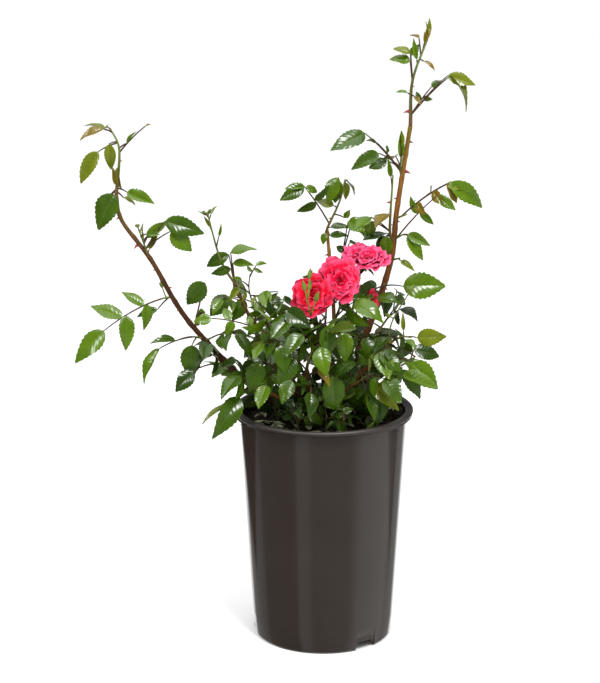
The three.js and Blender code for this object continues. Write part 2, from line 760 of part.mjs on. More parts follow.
// The root ball: the compost fills the pot with a hair of room, and its top edge is worn round.
function rootBallSolid() {
  const slope = (WALL_TOP_RADIUS - WALL_FOOT_RADIUS) / (POT_HEIGHT - LIP_DEPTH - FOOT_EDGE);
  const reachAt = (z) => WALL_FOOT_RADIUS + slope * (z - FOOT_EDGE) - WALL - ROOT_ROOM;
  const foot = FLOOR + CLEAR;
  const shoulder = SOIL_TOP - 3;
  return turnedSolid(
    [
      [0, foot],
      [reachAt(foot) - BALL_EDGE, foot],
      [reachAt(foot + BALL_EDGE), foot + BALL_EDGE],
      [reachAt(shoulder), shoulder],
      [reachAt(shoulder) - BALL_EDGE, SOIL_TOP - 1],
      [2 * STOCK_RADIUS, SOIL_TOP],
      [0, SOIL_TOP],
    ],
    ROUND,
  );
}

// The stock: the swollen graft union that every cane rises from.
function stockSolid(grow = 0) {
  const foot = SOIL_TOP + CLEAR - grow;
  return turnedSolid(
    [
      [0, foot],
      [0.8 * STOCK_RADIUS + grow, foot],
      [STOCK_RADIUS + grow, SOIL_TOP + 0.25 * STOCK_HEIGHT],
      [0.9 * STOCK_RADIUS + grow, SOIL_TOP + 0.55 * STOCK_HEIGHT],
      [0.55 * STOCK_RADIUS + grow, SOIL_TOP + 0.8 * STOCK_HEIGHT + grow],
      [0, SOIL_TOP + 0.85 * STOCK_HEIGHT + grow],
    ],
    STOCK_ROUND,
  );
}

// ---------------------------------------------------------------- the whole bush

const group = new THREE.Group();
const add = (name, body, finish) => {
  stand(name, body);
  group.add(meshOf(name, body, finish));
};

add("pot", potSolid(), potPlastic);
add("root_ball", rootBallSolid(), compost);
add("stock", stockSolid(), wood);

const canes = {};
for (const [name, { from, girth, course }] of Object.entries(CANES)) {
  const curve = courseFrom(new THREE.Vector3(from[0], from[1], SOIL_TOP + CANE_START), course);
  const steps = Math.round(curve.getLength() / CANE_STEP);
  const sides = girth[0] > 3 ? 6 : 5;
  let body = limb(curve, girth, sides, steps).subtract(stockSolid(CLEAR));
  for (const other of Object.values(canes)) body = body.subtract(other.room);
  canes[name] = { curve, room: limb(curve, girth, sides, steps, CLEAR) };
  add(name, largest(body), wood);
}

const bushy = seeded(BUSHY_SEED);
for (const cane of BUSHY_CANES) {
  SPRAYS[cane.replace("cane", "tip")] = bushySpray(cane, BUSHY_TIP, bushy);
  SPRAYS[cane.replace("cane", "side")] = bushySpray(cane, BUSHY_SIDE, bushy);
}

const stems = {};
for (const [name, spray] of Object.entries(SPRAYS)) {
  const curve = courseFrom(canes[spray.on].curve.getPointAt(spray.at), spray.course);
  stems[name] = { curve, body: stemWithBlooms(spray, curve) };
  stand(name, stems[name].body);
}
Object.entries(SPRAYS).forEach(([name, spray], rank) => {
  const { curve, body } = stems[name];
  const grown = growSpray(name, spray, curve, body, LEAF_SEED + rank);
  add(name, grown, spray.blooms ? bloomPink : leafGreen);
});

export default group;
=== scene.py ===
"""A rose bush in its nursery pot: pot, compost, canes, prickles, shoots, leaves, buds and blooms.

Lengths are millimetres until a mesh is written, bearings and rises are degrees (bearing 0 is +X,
90 is +Y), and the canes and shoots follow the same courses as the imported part.
"""
import math

import bpy
import numpy as np
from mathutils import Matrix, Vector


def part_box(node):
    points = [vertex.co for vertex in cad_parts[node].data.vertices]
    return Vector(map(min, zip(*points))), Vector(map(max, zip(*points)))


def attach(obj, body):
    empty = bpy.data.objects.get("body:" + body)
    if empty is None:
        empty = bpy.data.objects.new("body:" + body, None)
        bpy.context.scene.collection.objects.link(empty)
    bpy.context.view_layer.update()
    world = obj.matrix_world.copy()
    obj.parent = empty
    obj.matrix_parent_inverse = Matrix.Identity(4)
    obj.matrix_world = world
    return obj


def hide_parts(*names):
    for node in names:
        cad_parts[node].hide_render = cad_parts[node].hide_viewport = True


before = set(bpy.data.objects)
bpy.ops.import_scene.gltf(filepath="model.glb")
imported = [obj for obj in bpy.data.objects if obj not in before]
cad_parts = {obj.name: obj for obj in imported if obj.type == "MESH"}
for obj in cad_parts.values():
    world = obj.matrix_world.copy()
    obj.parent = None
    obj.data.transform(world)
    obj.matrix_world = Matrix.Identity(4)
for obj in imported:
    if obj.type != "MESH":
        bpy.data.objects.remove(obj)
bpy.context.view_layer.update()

# ---------------------------------------------------------------------------- the pot
# A thin nursery pot of black-brown polypropylene, injection moulded in one piece. Its lip is
# rolled over for stiffness, and four drain cuts lift the edge of its floor between the feet.

MM = 0.001
POT_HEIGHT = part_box("pot")[1].z / MM
LIP_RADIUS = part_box("pot")[1].x / MM
WALL_TOP_RADIUS = 88.5
WALL_FOOT_RADIUS = 74.5
WALL = 2.2
LIP_DEPTH = 7.0
LIP_ROLL = 2.4
FLOOR_THICK = 4.0
DRAIN_BEARINGS = (307, 188, 110, 30)
DRAIN_HALF_WIDTH = 12.6
DRAIN_HEIGHT = 9.0
DRAIN_BACK = 46.0


def split_quads(quads):
    """Each four-cornered face as two triangles across its first diagonal."""
    return np.concatenate([quads[:, [0, 1, 2]], quads[:, [0, 2, 3]]])


def sheet_quads(rows, columns, closed=False):
    """Faces between neighbouring points of a grid numbered row by row; closed wraps the columns."""
    row = np.arange(rows - 1)[:, None] * columns
    column = np.arange(columns if closed else columns - 1)[None, :]
    beside = (column + 1) % columns
    corners = [row + column, row + beside, row + columns + beside, row + columns + column]
    return np.stack(np.broadcast_arrays(*corners), -1).reshape(-1, 4)


def tube_faces(rows, columns):
    """Triangles of a grid numbered row by row, closed round its columns and capped by a fan at the
    first row and at the last. The two fans' middle points come after the grid's."""
    first = np.arange(columns)
    second = (first + 1) % columns
    last = (rows - 1) * columns
    foot = np.stack([second, first, np.full(columns, rows * columns)], 1)
    head = np.stack([last + first, last + second, np.full(columns, rows * columns + 1)], 1)
    return np.concatenate([split_quads(sheet_quads(rows, columns, closed=True)), foot, head])


def shell(points, triangles, surface=None, rim=None, picks=None):
    """One closed surface: points, triangles, for each point its place on the surface and the
    number of the crease it lies on, or 0, and for each triangle which material it takes."""
    return {
        "points": points,
        "triangles": triangles,
        "surface": np.zeros((len(points), 2)) if surface is None else surface,
        "rim": np.zeros(len(points), int) if rim is None else rim,
        "picks": np.zeros(len(triangles), int) if picks is None else picks,
    }


def turned_shell(radius, turn, height, foot, head):
    """A shell round the upright axis: a grid of points at a radius, a turn and a height, capped at
    two heights on the axis."""
    grid = np.broadcast_arrays(radius * np.cos(turn), radius * np.sin(turn), height)
    points = np.stack(grid, -1).reshape(-1, 3)
    return shell(np.concatenate([points, [[0, 0, foot], [0, 0, head]]]), tube_faces(*grid[0].shape))


def add_object(name, data):
    """A new object of the scene that shows the given mesh, lamp or camera."""
    placed = bpy.data.objects.new(name, data)
    bpy.context.scene.collection.objects.link(placed)
    return placed


def make_piece(name, shells, materials, nodes=()):
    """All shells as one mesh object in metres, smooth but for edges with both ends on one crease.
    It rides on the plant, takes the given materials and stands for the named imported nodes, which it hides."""
    starts = np.cumsum([0] + [len(s["points"]) for s in shells[:-1]])
    points = np.concatenate([s["points"] for s in shells]) * MM
    triangles = np.concatenate([s["triangles"] + start for s, start in zip(shells, starts)])
    keys = ("surface", "rim", "picks")
    surface, rim, picks = (np.concatenate([s[key] for s in shells]) for key in keys)
    mesh = bpy.data.meshes.new(name)
    mesh.vertices.add(len(points))
    mesh.vertices.foreach_set("co", points.astype(np.float32).ravel())
    mesh.loops.add(triangles.size)
    mesh.loops.foreach_set("vertex_index", triangles.astype(np.int32).ravel())
    mesh.polygons.add(len(triangles))
    mesh.polygons.foreach_set("loop_start", np.arange(0, triangles.size, 3, dtype=np.int32))
    mesh.polygons.foreach_set("material_index", picks.astype(np.int32))
    mesh.update(calc_edges=True)
    coordinates = mesh.uv_layers.new(name="surface")
    coordinates.data.foreach_set("uv", surface[triangles.ravel()].astype(np.float32).ravel())
    ends = np.zeros(len(mesh.edges) * 2, np.int32)
    mesh.edges.foreach_get("vertices", ends)
    sharp = mesh.attributes.new("sharp_edge", "BOOLEAN", "EDGE")
    first, second = rim[ends.reshape(-1, 2)].T
    sharp.data.foreach_set("value", (first == second) & (first > 0))
    mesh.validate()
    for material in materials:
        mesh.materials.append(material)
    piece = add_object(name, mesh)
    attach(piece, "root")
    if nodes:
        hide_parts(*nodes)
    return piece


def add_node(tree, kind, inputs=(), **settings):
    """A shader node with its settings; an input is a plain value or the output that feeds it."""
    node = tree.nodes.new(kind)
    for key, value in settings.items():
        setattr(node, key, value)
    for key, value in dict(inputs).items():
        if isinstance(value, bpy.types.NodeSocket):
            tree.links.new(value, node.inputs[key])
        else:
            node.inputs[key].default_value = value
    return node


def math_node(tree, operation, first, second=0.0, third=0.0):
    """What an operation makes of plain values and outputs."""
    inputs = {0: first, 1: second, 2: third}
    return add_node(tree, "ShaderNodeMath", inputs, operation=operation).outputs[0]


def start_material(name, **constants):
    """A new material and its tree, the given sockets of its Principled shader set to constants."""
    material = bpy.data.materials.new(name)
    material.use_nodes = True
    shader = material.node_tree.nodes["Principled BSDF"]
    for key, value in constants.items():
        shader.inputs[key.replace("_", " ")].default_value = value
    return material, material.node_tree


def led(material, **outputs):
    """The material with an output led to each of the named sockets of its shader."""
    tree = material.node_tree
    for key, output in outputs.items():
        tree.links.new(output, tree.nodes["Principled BSDF"].inputs[key.replace("_", " ")])
    return material


def start_group(name, inputs, outputs):
    """A new shader node group with float inputs (name, default) and outputs (name, kind)."""
    tree = bpy.data.node_groups.new(name, "ShaderNodeTree")
    for label, default in inputs:
        socket = tree.interface.new_socket(label, in_out="INPUT", socket_type="NodeSocketFloat")
        socket.default_value = default
    for label, kind in outputs:
        tree.interface.new_socket(label, in_out="OUTPUT", socket_type="NodeSocket" + kind)
    return tree, tree.nodes.new("NodeGroupInput"), tree.nodes.new("NodeGroupOutput")


def make_mottle_group():
    """Soft mottling: noise in object space, spread from Low to High; Stretch draws it out in Z."""
    inputs = [("Scale", 40.0), ("Stretch", 1.0), ("Low", 0.0), ("High", 1.0)]
    tree, given, out = start_group("mottle", inputs, [("Value", "Float")])
    place = add_node(tree, "ShaderNodeTexCoord")
    turned = add_node(tree, "ShaderNodeCombineXYZ", {"X": 1.0, "Y": 1.0})
    tree.links.new(given.outputs["Stretch"], turned.inputs["Z"])
    factors = {0: place.outputs["Object"], 1: turned.outputs[0]}
    drawn = add_node(tree, "ShaderNodeVectorMath", factors, operation="MULTIPLY")
    grain = {"Vector": drawn.outputs[0], "Scale": given.outputs["Scale"], "Detail": 4.0}
    noise = add_node(tree, "ShaderNodeTexNoise", grain)
    reach = {"Value": noise.outputs[0], "From Min": 0.3, "From Max": 0.7}
    reach.update({"To Min": given.outputs["Low"], "To Max": given.outputs["High"]})
    tree.links.new(add_node(tree, "ShaderNodeMapRange", reach).outputs[0], out.inputs["Value"])
    return tree


mottle_group = make_mottle_group()


def mottle(tree, scale, low=0.0, high=1.0, stretch=1.0):
    """The mottle group in a tree, giving its value."""
    node = add_node(tree, "ShaderNodeGroup", node_tree=mottle_group)
    for key, value in (("Scale", scale), ("Stretch", stretch), ("Low", low), ("High", high)):
        node.inputs[key].default_value = value
    return node.outputs["Value"]


def blend_colours(tree, share, first, second):
    """The colour between first and second, each a plain colour or an output, at a share."""
    inputs = {0: share, 6: first, 7: second}
    for key in (6, 7):
        if isinstance(inputs[key], tuple):
            inputs[key] = (*inputs[key], 1.0)
    return add_node(tree, "ShaderNodeMix", inputs, data_type="RGBA").outputs[2]


def bump(tree, height, distance, strength=1.0):
    """The normal of a surface raised by a height in metres times its value."""
    inputs = {"Height": height, "Distance": distance, "Strength": strength}
    return add_node(tree, "ShaderNodeBump", inputs).outputs[0]


def make_pot_plastic():
    """Glossy black-brown plastic: gloss a little uneven and worn off the lip, with a faint ripple."""
    material, tree = start_material("pot_plastic", Specular_IOR_Level=0.8)
    colour = blend_colours(tree, mottle(tree, 18), (0.0195, 0.0135, 0.010), (0.0235, 0.0165, 0.0125))
    place = add_node(tree, "ShaderNodeTexCoord")
    height = add_node(tree, "ShaderNodeSeparateXYZ", {0: place.outputs["Object"]}).outputs[2]
    lip = {"Value": height, "From Min": (POT_HEIGHT - 4) * MM, "From Max": (POT_HEIGHT - 2) * MM}
    worn = add_node(tree, "ShaderNodeMapRange", {**lip, "To Max": 0.45}).outputs[0]
    rough = math_node(tree, "ADD", mottle(tree, 60, 0.07, 0.12, stretch=0.2), worn)
    ripple = bump(tree, mottle(tree, 22, stretch=0.12), 0.00008)
    return led(material, Base_Color=colour, Roughness=rough, Normal=ripple)


def turned_pot():
    """The pot's profile turned round the upright axis. Within a drain cut the height of each low
    point of the profile outside its back wall is lifted to the cut's roof, so that the foot's edge
    opens in an arch."""
    lip_foot = POT_HEIGHT - LIP_DEPTH
    taper = (WALL_TOP_RADIUS - WALL_FOOT_RADIUS) / lip_foot
    wall = [(WALL_FOOT_RADIUS + taper * z, z) for z in np.linspace(3, lip_foot - 2, 12)]
    roll = np.radians(np.arange(-90, 100, 20))
    centre = (LIP_RADIUS - LIP_ROLL, POT_HEIGHT - LIP_ROLL)
    lip = [(centre[0] + LIP_ROLL * math.cos(a), centre[1] + LIP_ROLL * math.sin(a)) for a in roll]
    inside = [
        (WALL_TOP_RADIUS + 0.6 - WALL, POT_HEIGHT - 1.2),
        (WALL_TOP_RADIUS - WALL, POT_HEIGHT - 4),
        (WALL_FOOT_RADIUS + 2 - WALL, 13),
        (DRAIN_BACK - 2, 12.5),
        (DRAIN_BACK - 4, FLOOR_THICK),
    ]
    under = [(DRAIN_BACK - 3, 0.0), (DRAIN_BACK - 2, 0.4), (DRAIN_BACK - 0.3, 0.3), (DRAIN_BACK + 0.3, 0.3)]
    under += [(WALL_FOOT_RADIUS - 2.5, 0.2), (WALL_FOOT_RADIUS - 0.6, 1.0)]
    step = [(WALL_TOP_RADIUS, lip_foot), (LIP_RADIUS - 2.6, lip_foot), (LIP_RADIUS - 0.8, lip_foot + 0.6)]
    profile = np.array(under + wall + step + lip + inside)
    half = math.degrees(DRAIN_HALF_WIDTH / WALL_FOOT_RADIUS)
    near = np.array([-1.3, -1.12, -1.0, -0.97, -0.8, -0.5, 0, 0.5, 0.8, 0.97, 1.0, 1.12, 1.3]) * half
    cuts = np.concatenate([bearing + near for bearing in DRAIN_BEARINGS]) % 360
    bearings = np.unique(np.round(np.concatenate([np.arange(0, 360, 2.5), cuts]), 3))
    away = np.abs((bearings[:, None] - np.array(DRAIN_BEARINGS) + 180) % 360 - 180).min(1) / half
    arch = np.where(away < 1, DRAIN_HEIGHT * np.clip(1 - away, 0, 0.3) ** 0.35 / 0.3**0.35, 0)
    height = profile[:, 1:]
    lifted = (height < DRAIN_HEIGHT) & (profile[:, :1] > DRAIN_BACK)
    height = np.where(lifted, np.maximum(height, arch[None, :]), height)
    return turned_shell(profile[:, :1], np.radians(bearings), height, 0.0, FLOOR_THICK)


make_piece("nursery_pot", [turned_pot()], [make_pot_plastic()], ["pot"])

# ---------------------------------------------------------------------------- the compost
# The root ball fills the pot: dark peaty compost with bark crumbs and fine dead roots lying on
# it, level with the wall's inside and heaped towards the right-hand rim where it was topped up.

SOIL_TOP = 235.7
SOIL_FOOT = 6.0
SOIL_REACH = WALL_TOP_RADIUS - WALL - 2.2
# Height, place and breadth of each heap: by the right-hand rim, by the left, and at the stock.
HEAPS = ((16, 76, 2, 420), (4, -70, -20, 500), (2.5, 0, 0, 500))
CRUMBS = 1900
FIBRES = 170
scatter = np.random.default_rng(5)


def soil_height(x, y):
    """Level of the compost: a few crossing waves, and rounded heaps."""
    ripple = 1.1 * np.sin(x / 9 + 1) * np.cos(y / 7) + 0.9 * np.sin(x / 4.1 - y / 5.3)
    level = SOIL_TOP - 1.5 + ripple
    for high, east, north, breadth in HEAPS:
        level = level + high * np.exp(-((x - east) ** 2 + (y - north) ** 2) / breadth)
    return level


def compost_ball():
    """A disc of rings that follows the soil's level, closed down its side and across its foot."""
    turn = np.radians(np.arange(0, 360, 4))
    reach = np.concatenate([np.linspace(0.02, 1, 24), [1.0, 0.84, 0.02]]) * SOIL_REACH
    z = soil_height(reach[:, None] * np.cos(turn), reach[:, None] * np.sin(turn))
    z[-3] = z[-4] - 6
    z[-2:] = SOIL_FOOT
    ball = turned_shell(reach[:, None], turn, z, soil_height(0, 0), SOIL_FOOT)
    ball["triangles"] = ball["triangles"][:, ::-1]
    return ball


def lumps(centres, sizes, turns):
    """Crumbs: eight-faced lumps, each stretched by its three sizes and turned about the upright."""
    corners = np.array([[1, 0, 0], [0, 1, 0], [-1, 0, 0], [0, -1, 0], [0, 0, 1], [0, 0, -1]], float)
    faces = [[0, 1, 4], [1, 2, 4], [2, 3, 4], [3, 0, 4], [1, 0, 5], [2, 1, 5], [3, 2, 5], [0, 3, 5]]
    shaped = corners[None] * sizes[:, None, :]
    cos, sin = np.cos(turns)[:, None], np.sin(turns)[:, None]
    x = shaped[:, :, 0] * cos - shaped[:, :, 1] * sin
    y = shaped[:, :, 0] * sin + shaped[:, :, 1] * cos
    points = np.stack([x, y, shaped[:, :, 2]], -1) + centres[:, None, :]
    offsets = np.arange(len(centres))[:, None, None] * len(corners)
    return shell(points.reshape(-1, 3), (np.array(faces)[None] + offsets).reshape(-1, 3))


def soil_places(count):
    """Random places on the compost, evenly spread over its disc."""
    turn = scatter.uniform(0, 2 * np.pi, count)
    reach = SOIL_REACH * 0.985 * np.sqrt(scatter.uniform(0, 1, count))
    x, y = reach * np.cos(turn), reach * np.sin(turn)
    return np.stack([x, y, soil_height(x, y)], -1)


def heading(bearing, rise):
    """The unit vector at a bearing and a rise above the level."""
    b, r = math.radians(bearing), math.radians(rise)
    return np.array([math.cos(b) * math.cos(r), math.sin(b) * math.cos(r), math.sin(r)])


def on_soil(bearing, reach, above=0.0):
    """The point over the compost at a bearing, a reach from the middle and a height."""
    spot = heading(bearing, 0) * reach
    spot[2] = soil_height(spot[0], spot[1]) + above
    return spot


def unit(vectors):
    """Vectors scaled to length one."""
    return vectors / np.linalg.norm(vectors, axis=-1, keepdims=True)


def course_line(start, course):
    """A dense line through the corners of a course: on each span the cubic whose slope at a
    corner is half the chord between that corner's neighbours, the ends being mirrored outward."""
    corners = [np.array(start, float)]
    for bearing, rise, length in course:
        corners.append(corners[-1] + length * heading(bearing, rise))
    corners = np.array(corners)
    p = np.vstack([2 * corners[0] - corners[1], corners, 2 * corners[-1] - corners[-2]])
    t = np.linspace(0, len(corners) - 1, 60 * (len(corners) - 1) + 1)
    k = np.minimum(t.astype(int), len(corners) - 2)
    f = (t - k)[:, None]
    first, second = (p[k + 2] - p[k]) / 2, (p[k + 3] - p[k + 1]) / 2
    rise = p[k + 2] - p[k + 1]
    square, cube = 3 * rise - 2 * first - second, first + second - 2 * rise
    return p[k + 1] + first * f + square * f**2 + cube * f**3


def line_length(line):
    """The summed length of a dense line's steps."""
    return np.linalg.norm(np.diff(line, axis=0), axis=1).sum()


def points_along(line, shares):
    """Points and unit tangents of a dense line at shares of its length."""
    reach = np.concatenate([[0], np.cumsum(np.linalg.norm(np.diff(line, axis=0), axis=1))])
    wanted = np.clip(np.atleast_1d(shares), 0, 1) * reach[-1]
    slopes = np.gradient(line, axis=0)
    places = np.stack([np.interp(wanted, reach, line[:, i]) for i in range(3)], -1)
    ways = np.stack([np.interp(wanted, reach, slopes[:, i]) for i in range(3)], -1)
    return places, unit(ways)


def cross_frame(tangents):
    """Two unit vectors square to each tangent, from the world axis that the line least follows."""
    axis = np.eye(3)[np.abs(tangents.mean(0)).argmin()]
    across = unit(np.cross(tangents, axis))
    return across, np.cross(tangents, across)


def limb(line, radii, sides, stations, relief=None):
    """A round limb along a line: rings of points at a radius that runs evenly between the two
    given, times a relief of (millimetres along, turn), closed to a point at each end. Its place
    on the surface is (share of the way to the tip, turn)."""
    shares = np.linspace(0, 1, stations)
    places, tangents = points_along(line, shares)
    across, up = cross_frame(tangents)
    turn = np.linspace(0, 2 * np.pi, sides, endpoint=False)
    radius = (radii[0] + (radii[1] - radii[0]) * shares)[:, None] * np.ones(sides)
    if relief is not None:
        radius = radius * relief(shares[:, None] * line_length(line), turn[None, :])
    ring = across[:, None] * np.cos(turn)[:, None] + up[:, None] * np.sin(turn)[:, None]
    rings = places[:, None] + ring * radius[..., None]
    ends = np.stack([places[0] - tangents[0] * radii[0] * 0.3, places[-1] + tangents[-1] * radii[1] * 0.6])
    points = np.concatenate([rings.reshape(-1, 3), ends])
    around = np.broadcast_to(turn / (2 * np.pi), (stations, sides))
    surface = np.stack([np.broadcast_to(shares[:, None], around.shape), around], -1).reshape(-1, 2)
    surface = np.concatenate([surface, [[0, 0], [1, 0]]])
    return shell(points, tube_faces(stations, sides), surface)


def make_compost(name, dark, light, grain):
    """Damp crumbly stuff: a mottle between two browns, rough, raised in grains of a given scale."""
    material, tree = start_material(name, Roughness=0.9, Specular_IOR_Level=0.25)
    colour = blend_colours(tree, mottle(tree, 260), dark, light)
    return led(material, Base_Color=colour, Normal=bump(tree, mottle(tree, grain), 0.0016))


compost = make_compost("compost", (0.006, 0.004, 0.003), (0.03, 0.018, 0.012), 500)
bark_crumb = make_compost("bark_crumb", (0.016, 0.009, 0.006), (0.075, 0.04, 0.022), 900)
make_piece("compost_ball", [compost_ball()], [compost], ["root_ball"])
crumb_sizes = scatter.uniform(0.6, 2.6, (CRUMBS, 1)) * scatter.uniform(0.45, 1.2, (CRUMBS, 3))
crumb_places = soil_places(CRUMBS)
crumbs = lumps(crumb_places, crumb_sizes, scatter.uniform(0, 6, CRUMBS))
crumbs["picks"] = np.repeat(scatter.uniform(0, 1, CRUMBS) < 0.35, 8).astype(int)
make_piece("compost_crumbs", [crumbs], [compost, bark_crumb])
dead_root = make_compost("dead_root", (0.02, 0.011, 0.007), (0.085, 0.05, 0.028), 900)
fibre_shells = []
for foot in soil_places(FIBRES):
    if len(fibre_shells) % 2:
        foot = on_soil(scatter.uniform(-40, 45), scatter.uniform(58, SOIL_REACH * 0.97))
    way, lean = scatter.uniform(0, 360), scatter.uniform(-5, 45)
    course = [(way, lean, scatter.uniform(4, 9))]
    course.append((way + scatter.uniform(-60, 60), -lean, scatter.uniform(4, 8)))
    fibre_shells.append(limb(course_line(foot, course), (scatter.uniform(0.3, 0.8), 0.15), 4, 9))
make_piece("dead_roots", fibre_shells, [dead_root])

# ---------------------------------------------------------------------------- the canes
# Fourteen canes rise from the knobbly graft union. Young rose wood is smooth, red-brown and lined
# low down, tan in the light and olive green near its tip, with a scar and a swelling at each node.

STOCK_RADIUS = 15.0
STOCK_HEIGHT = 20.0
CANE_START = 5.0
# For each cane: where it leaves the stock, its girth at foot and tip, and its course.
CANES = {
    "left_cane": (
        (-7, -2), (3.7, 1.9), ((186, 22, 60), (189, 47, 112), (193, 60, 80), (174, 54, 50), (160, 78, 27))
    ),
    "left_inner_cane": ((-6, 6), (2.8, 1.7), ((165, 49, 54), (153, 54, 76), (160, 66, 30))),
    "middle_cane": ((0, 8), (2.7, 1.6), ((67, 70, 87), (109, 78, 110))),
    "bloom_cane": ((1, -6), (2.8, 1.9), ((285, 76, 43), (248, 67, 61))),
    "right_cane": (
        (7, 4), (4.1, 2.2), ((7, 68, 23), (31, 61, 80), (24, 70, 72), (10, 84, 55), (334, 81, 90))
    ),
    "right_low_cane": ((8, -3), (2.6, 1.7), ((330, 58, 46), (340, 48, 35), (354, 48, 31))),
    "low_left_cane": ((-11, -5), (2.4, 1.6), ((211, 33, 56), (218, 26, 27))),
    "front_left_cane": ((-5, -9), (2.4, 1.6), ((212, 50, 60), (228, 63, 53))),
    "front_cane": ((1, -12), (2.3, 1.5), ((235, 55, 49), (260, 64, 28), (327, 70, 22))),
    "front_right_cane": ((9, -9), (2.3, 1.5), ((290, 48, 47), (323, 39, 26))),
    "back_left_cane": ((-9, 10), (2.5, 1.5), ((140, 46, 60), (128, 56, 42))),
    "back_cane": ((3, 13), (2.5, 1.5), ((95, 50, 58), (82, 62, 40))),
    "back_right_cane": ((10, 9), (2.5, 1.5), ((48, 44, 62), (38, 54, 38))),
    "side_right_cane": ((13, 2), (2.3, 1.4), ((352, 36, 52), (8, 42, 30))),
}


def cane_relief(nodes, chance):
    """Relief of a cane: swellings and one-sided scars at its nodes, and shallow lines along it."""
    sides = chance.uniform(0, 2 * np.pi, len(nodes))

    def relief(along, turn):
        scale = 1 + 0.02 * np.sin(3 * turn + along / 23) + 0.015 * np.sin(7 * turn - along / 31)
        for node, side in zip(nodes, sides):
            near = np.exp(-(((along - node) / 3.2) ** 2))
            groove = np.exp(-(((along - node + 1.5) / 0.9) ** 2))
            facing = 0.5 + 0.5 * np.cos(turn - side)
            scale = scale + 0.1 * near + 0.16 * near * facing**3 - 0.07 * groove
        return scale

    return relief


def colour_ramp(tree, value, colours):
    """The colour that a value picks from evenly blended stops of (value, colour), low to high."""
    ramp = add_node(tree, "ShaderNodeValToRGB", {0: value})
    stops = ramp.color_ramp.elements
    while len(stops) < len(colours):
        stops.new(1.0)
    for stop, (share, colour) in zip(stops, colours):
        stop.position = share
        stop.color = (*colour, 1)
    return ramp.outputs[0]


def surface_place(tree):
    """The two outputs of a point's place on its surface."""
    place = add_node(tree, "ShaderNodeUVMap", uv_map="surface")
    return add_node(tree, "ShaderNodeSeparateXYZ", {0: place.outputs[0]}).outputs[:2]


def make_bark(name, colours, speckle, roughness):
    """Smooth rose bark: the colour runs through the given ones from the foot to the tip, darkened
    in drawn-out streaks and speckled with small pale pores, under a satin skin."""
    material, tree = start_material(name, Specular_IOR_Level=0.22)
    along, _ = surface_place(tree)
    aged = colour_ramp(tree, along, colours)
    streaked = blend_colours(tree, mottle(tree, 240, 0, 0.6, stretch=0.12), aged, (0.02, 0.008, 0.003))
    pores = mottle(tree, 900, -0.6, speckle, stretch=0.4)
    clamped = add_node(tree, "ShaderNodeClamp", {0: pores})
    colour = blend_colours(tree, clamped.outputs[0], streaked, (0.3, 0.15, 0.045))
    rough = mottle(tree, 200, roughness - 0.06, roughness + 0.1)
    lines = bump(tree, mottle(tree, 500, stretch=0.15), 0.0003)
    return led(material, Base_Color=colour, Roughness=rough, Normal=lines)


def knobbly_stock():
    """The graft union: a turned lump whose radius swells and shrinks round it and up it."""
    rise = np.linspace(0, 1, 13)
    turn = np.radians(np.arange(0, 360, 12))
    profile = STOCK_RADIUS * (0.82 + 0.3 * np.sin(np.pi * rise * 0.9)) * np.sqrt(1 - 0.93 * rise**3)
    knobs = 1 + 0.09 * np.sin(3 * turn + 5 * rise[:, None]) + 0.05 * np.sin(7 * turn - 9 * rise[:, None])
    radius = profile[:, None] * knobs
    foot = SOIL_TOP - 4
    z = foot + (STOCK_HEIGHT + 1) * rise[:, None]
    return turned_shell(radius, turn, z, foot, foot + STOCK_HEIGHT + 1)


# Bark colours by the share of the way up a cane, as lit, and darker as painted shade for canes within the
# crown.
OLD_WOOD = (
    (0.0, (0.036, 0.017, 0.008)), (0.3, (0.1, 0.031, 0.007)), (0.62, (0.2, 0.068, 0.01)),
    (0.85, (0.27, 0.112, 0.013)), (1.0, (0.19, 0.135, 0.013)),
)
SHADED_WOOD = (
    (0.0, (0.028, 0.013, 0.007)), (0.3, (0.045, 0.015, 0.005)), (0.62, (0.066, 0.023, 0.005)),
    (0.85, (0.1, 0.044, 0.008)), (1.0, (0.13, 0.09, 0.011)),
)
barks = [make_bark("old_bark", OLD_WOOD, 0.15, 0.46), make_bark("shaded_bark", SHADED_WOOD, 0.15, 0.46)]
cane_chance = np.random.default_rng(3)
cane_lines = {}
cane_shells = [knobbly_stock()]
for cane, (spot, girth, course) in CANES.items():
    line = course_line((*spot, SOIL_TOP + CANE_START), course)
    cane_lines[cane] = line
    nodes_up = np.arange(16, line_length(line), 27) + cane_chance.uniform(-5, 5)
    sides = 16 if girth[0] > 3 else 12
    relief = cane_relief(nodes_up, cane_chance)
    cane_shells.append(limb(line, girth, sides, int(line_length(line) / 1.6), relief))
    # Canes within the crown take the darker bark, painted shade.
    cane_shells[-1]["picks"] += cane.startswith(("left", "bloom", "front", "back"))
make_piece("canes", cane_shells, barks, ["stock", *CANES])

# ---------------------------------------------------------------------------- the prickles
# Hooked prickles stand on the bark, broad and flattened at the foot and drawn out to a point that
# bends down the cane. They are red and a little glassy, and come off with the bark's skin.

PRICKLE_GAP = 24.0
PRICKLE_LENGTH = 6.0
SPIRAL = 137.5


def prickle(foot, along, out, length):
    """A bent cone: its middle runs out by length and back down the cane by a quarter of that,
    and its oval girth, longest along the cane, shrinks evenly to the point."""
    share = np.linspace(0, 1, 5)[:, None]
    turn = np.linspace(0, 2 * np.pi, 6, endpoint=False)
    side = np.cross(along, out)
    middle = foot + out * length * share - along * 0.28 * length * share**2
    girth = (1 - share) ** 1.2 * length
    rings = middle[:, None] + girth[:, :, None] * (
        0.3 * np.cos(turn)[None, :, None] * along + 0.13 * np.sin(turn)[None, :, None] * side
    )
    points = np.concatenate([rings[:-1].reshape(-1, 3), foot[None] - out, middle[-1:]])
    return shell(points, tube_faces(4, 6)[:, ::-1])


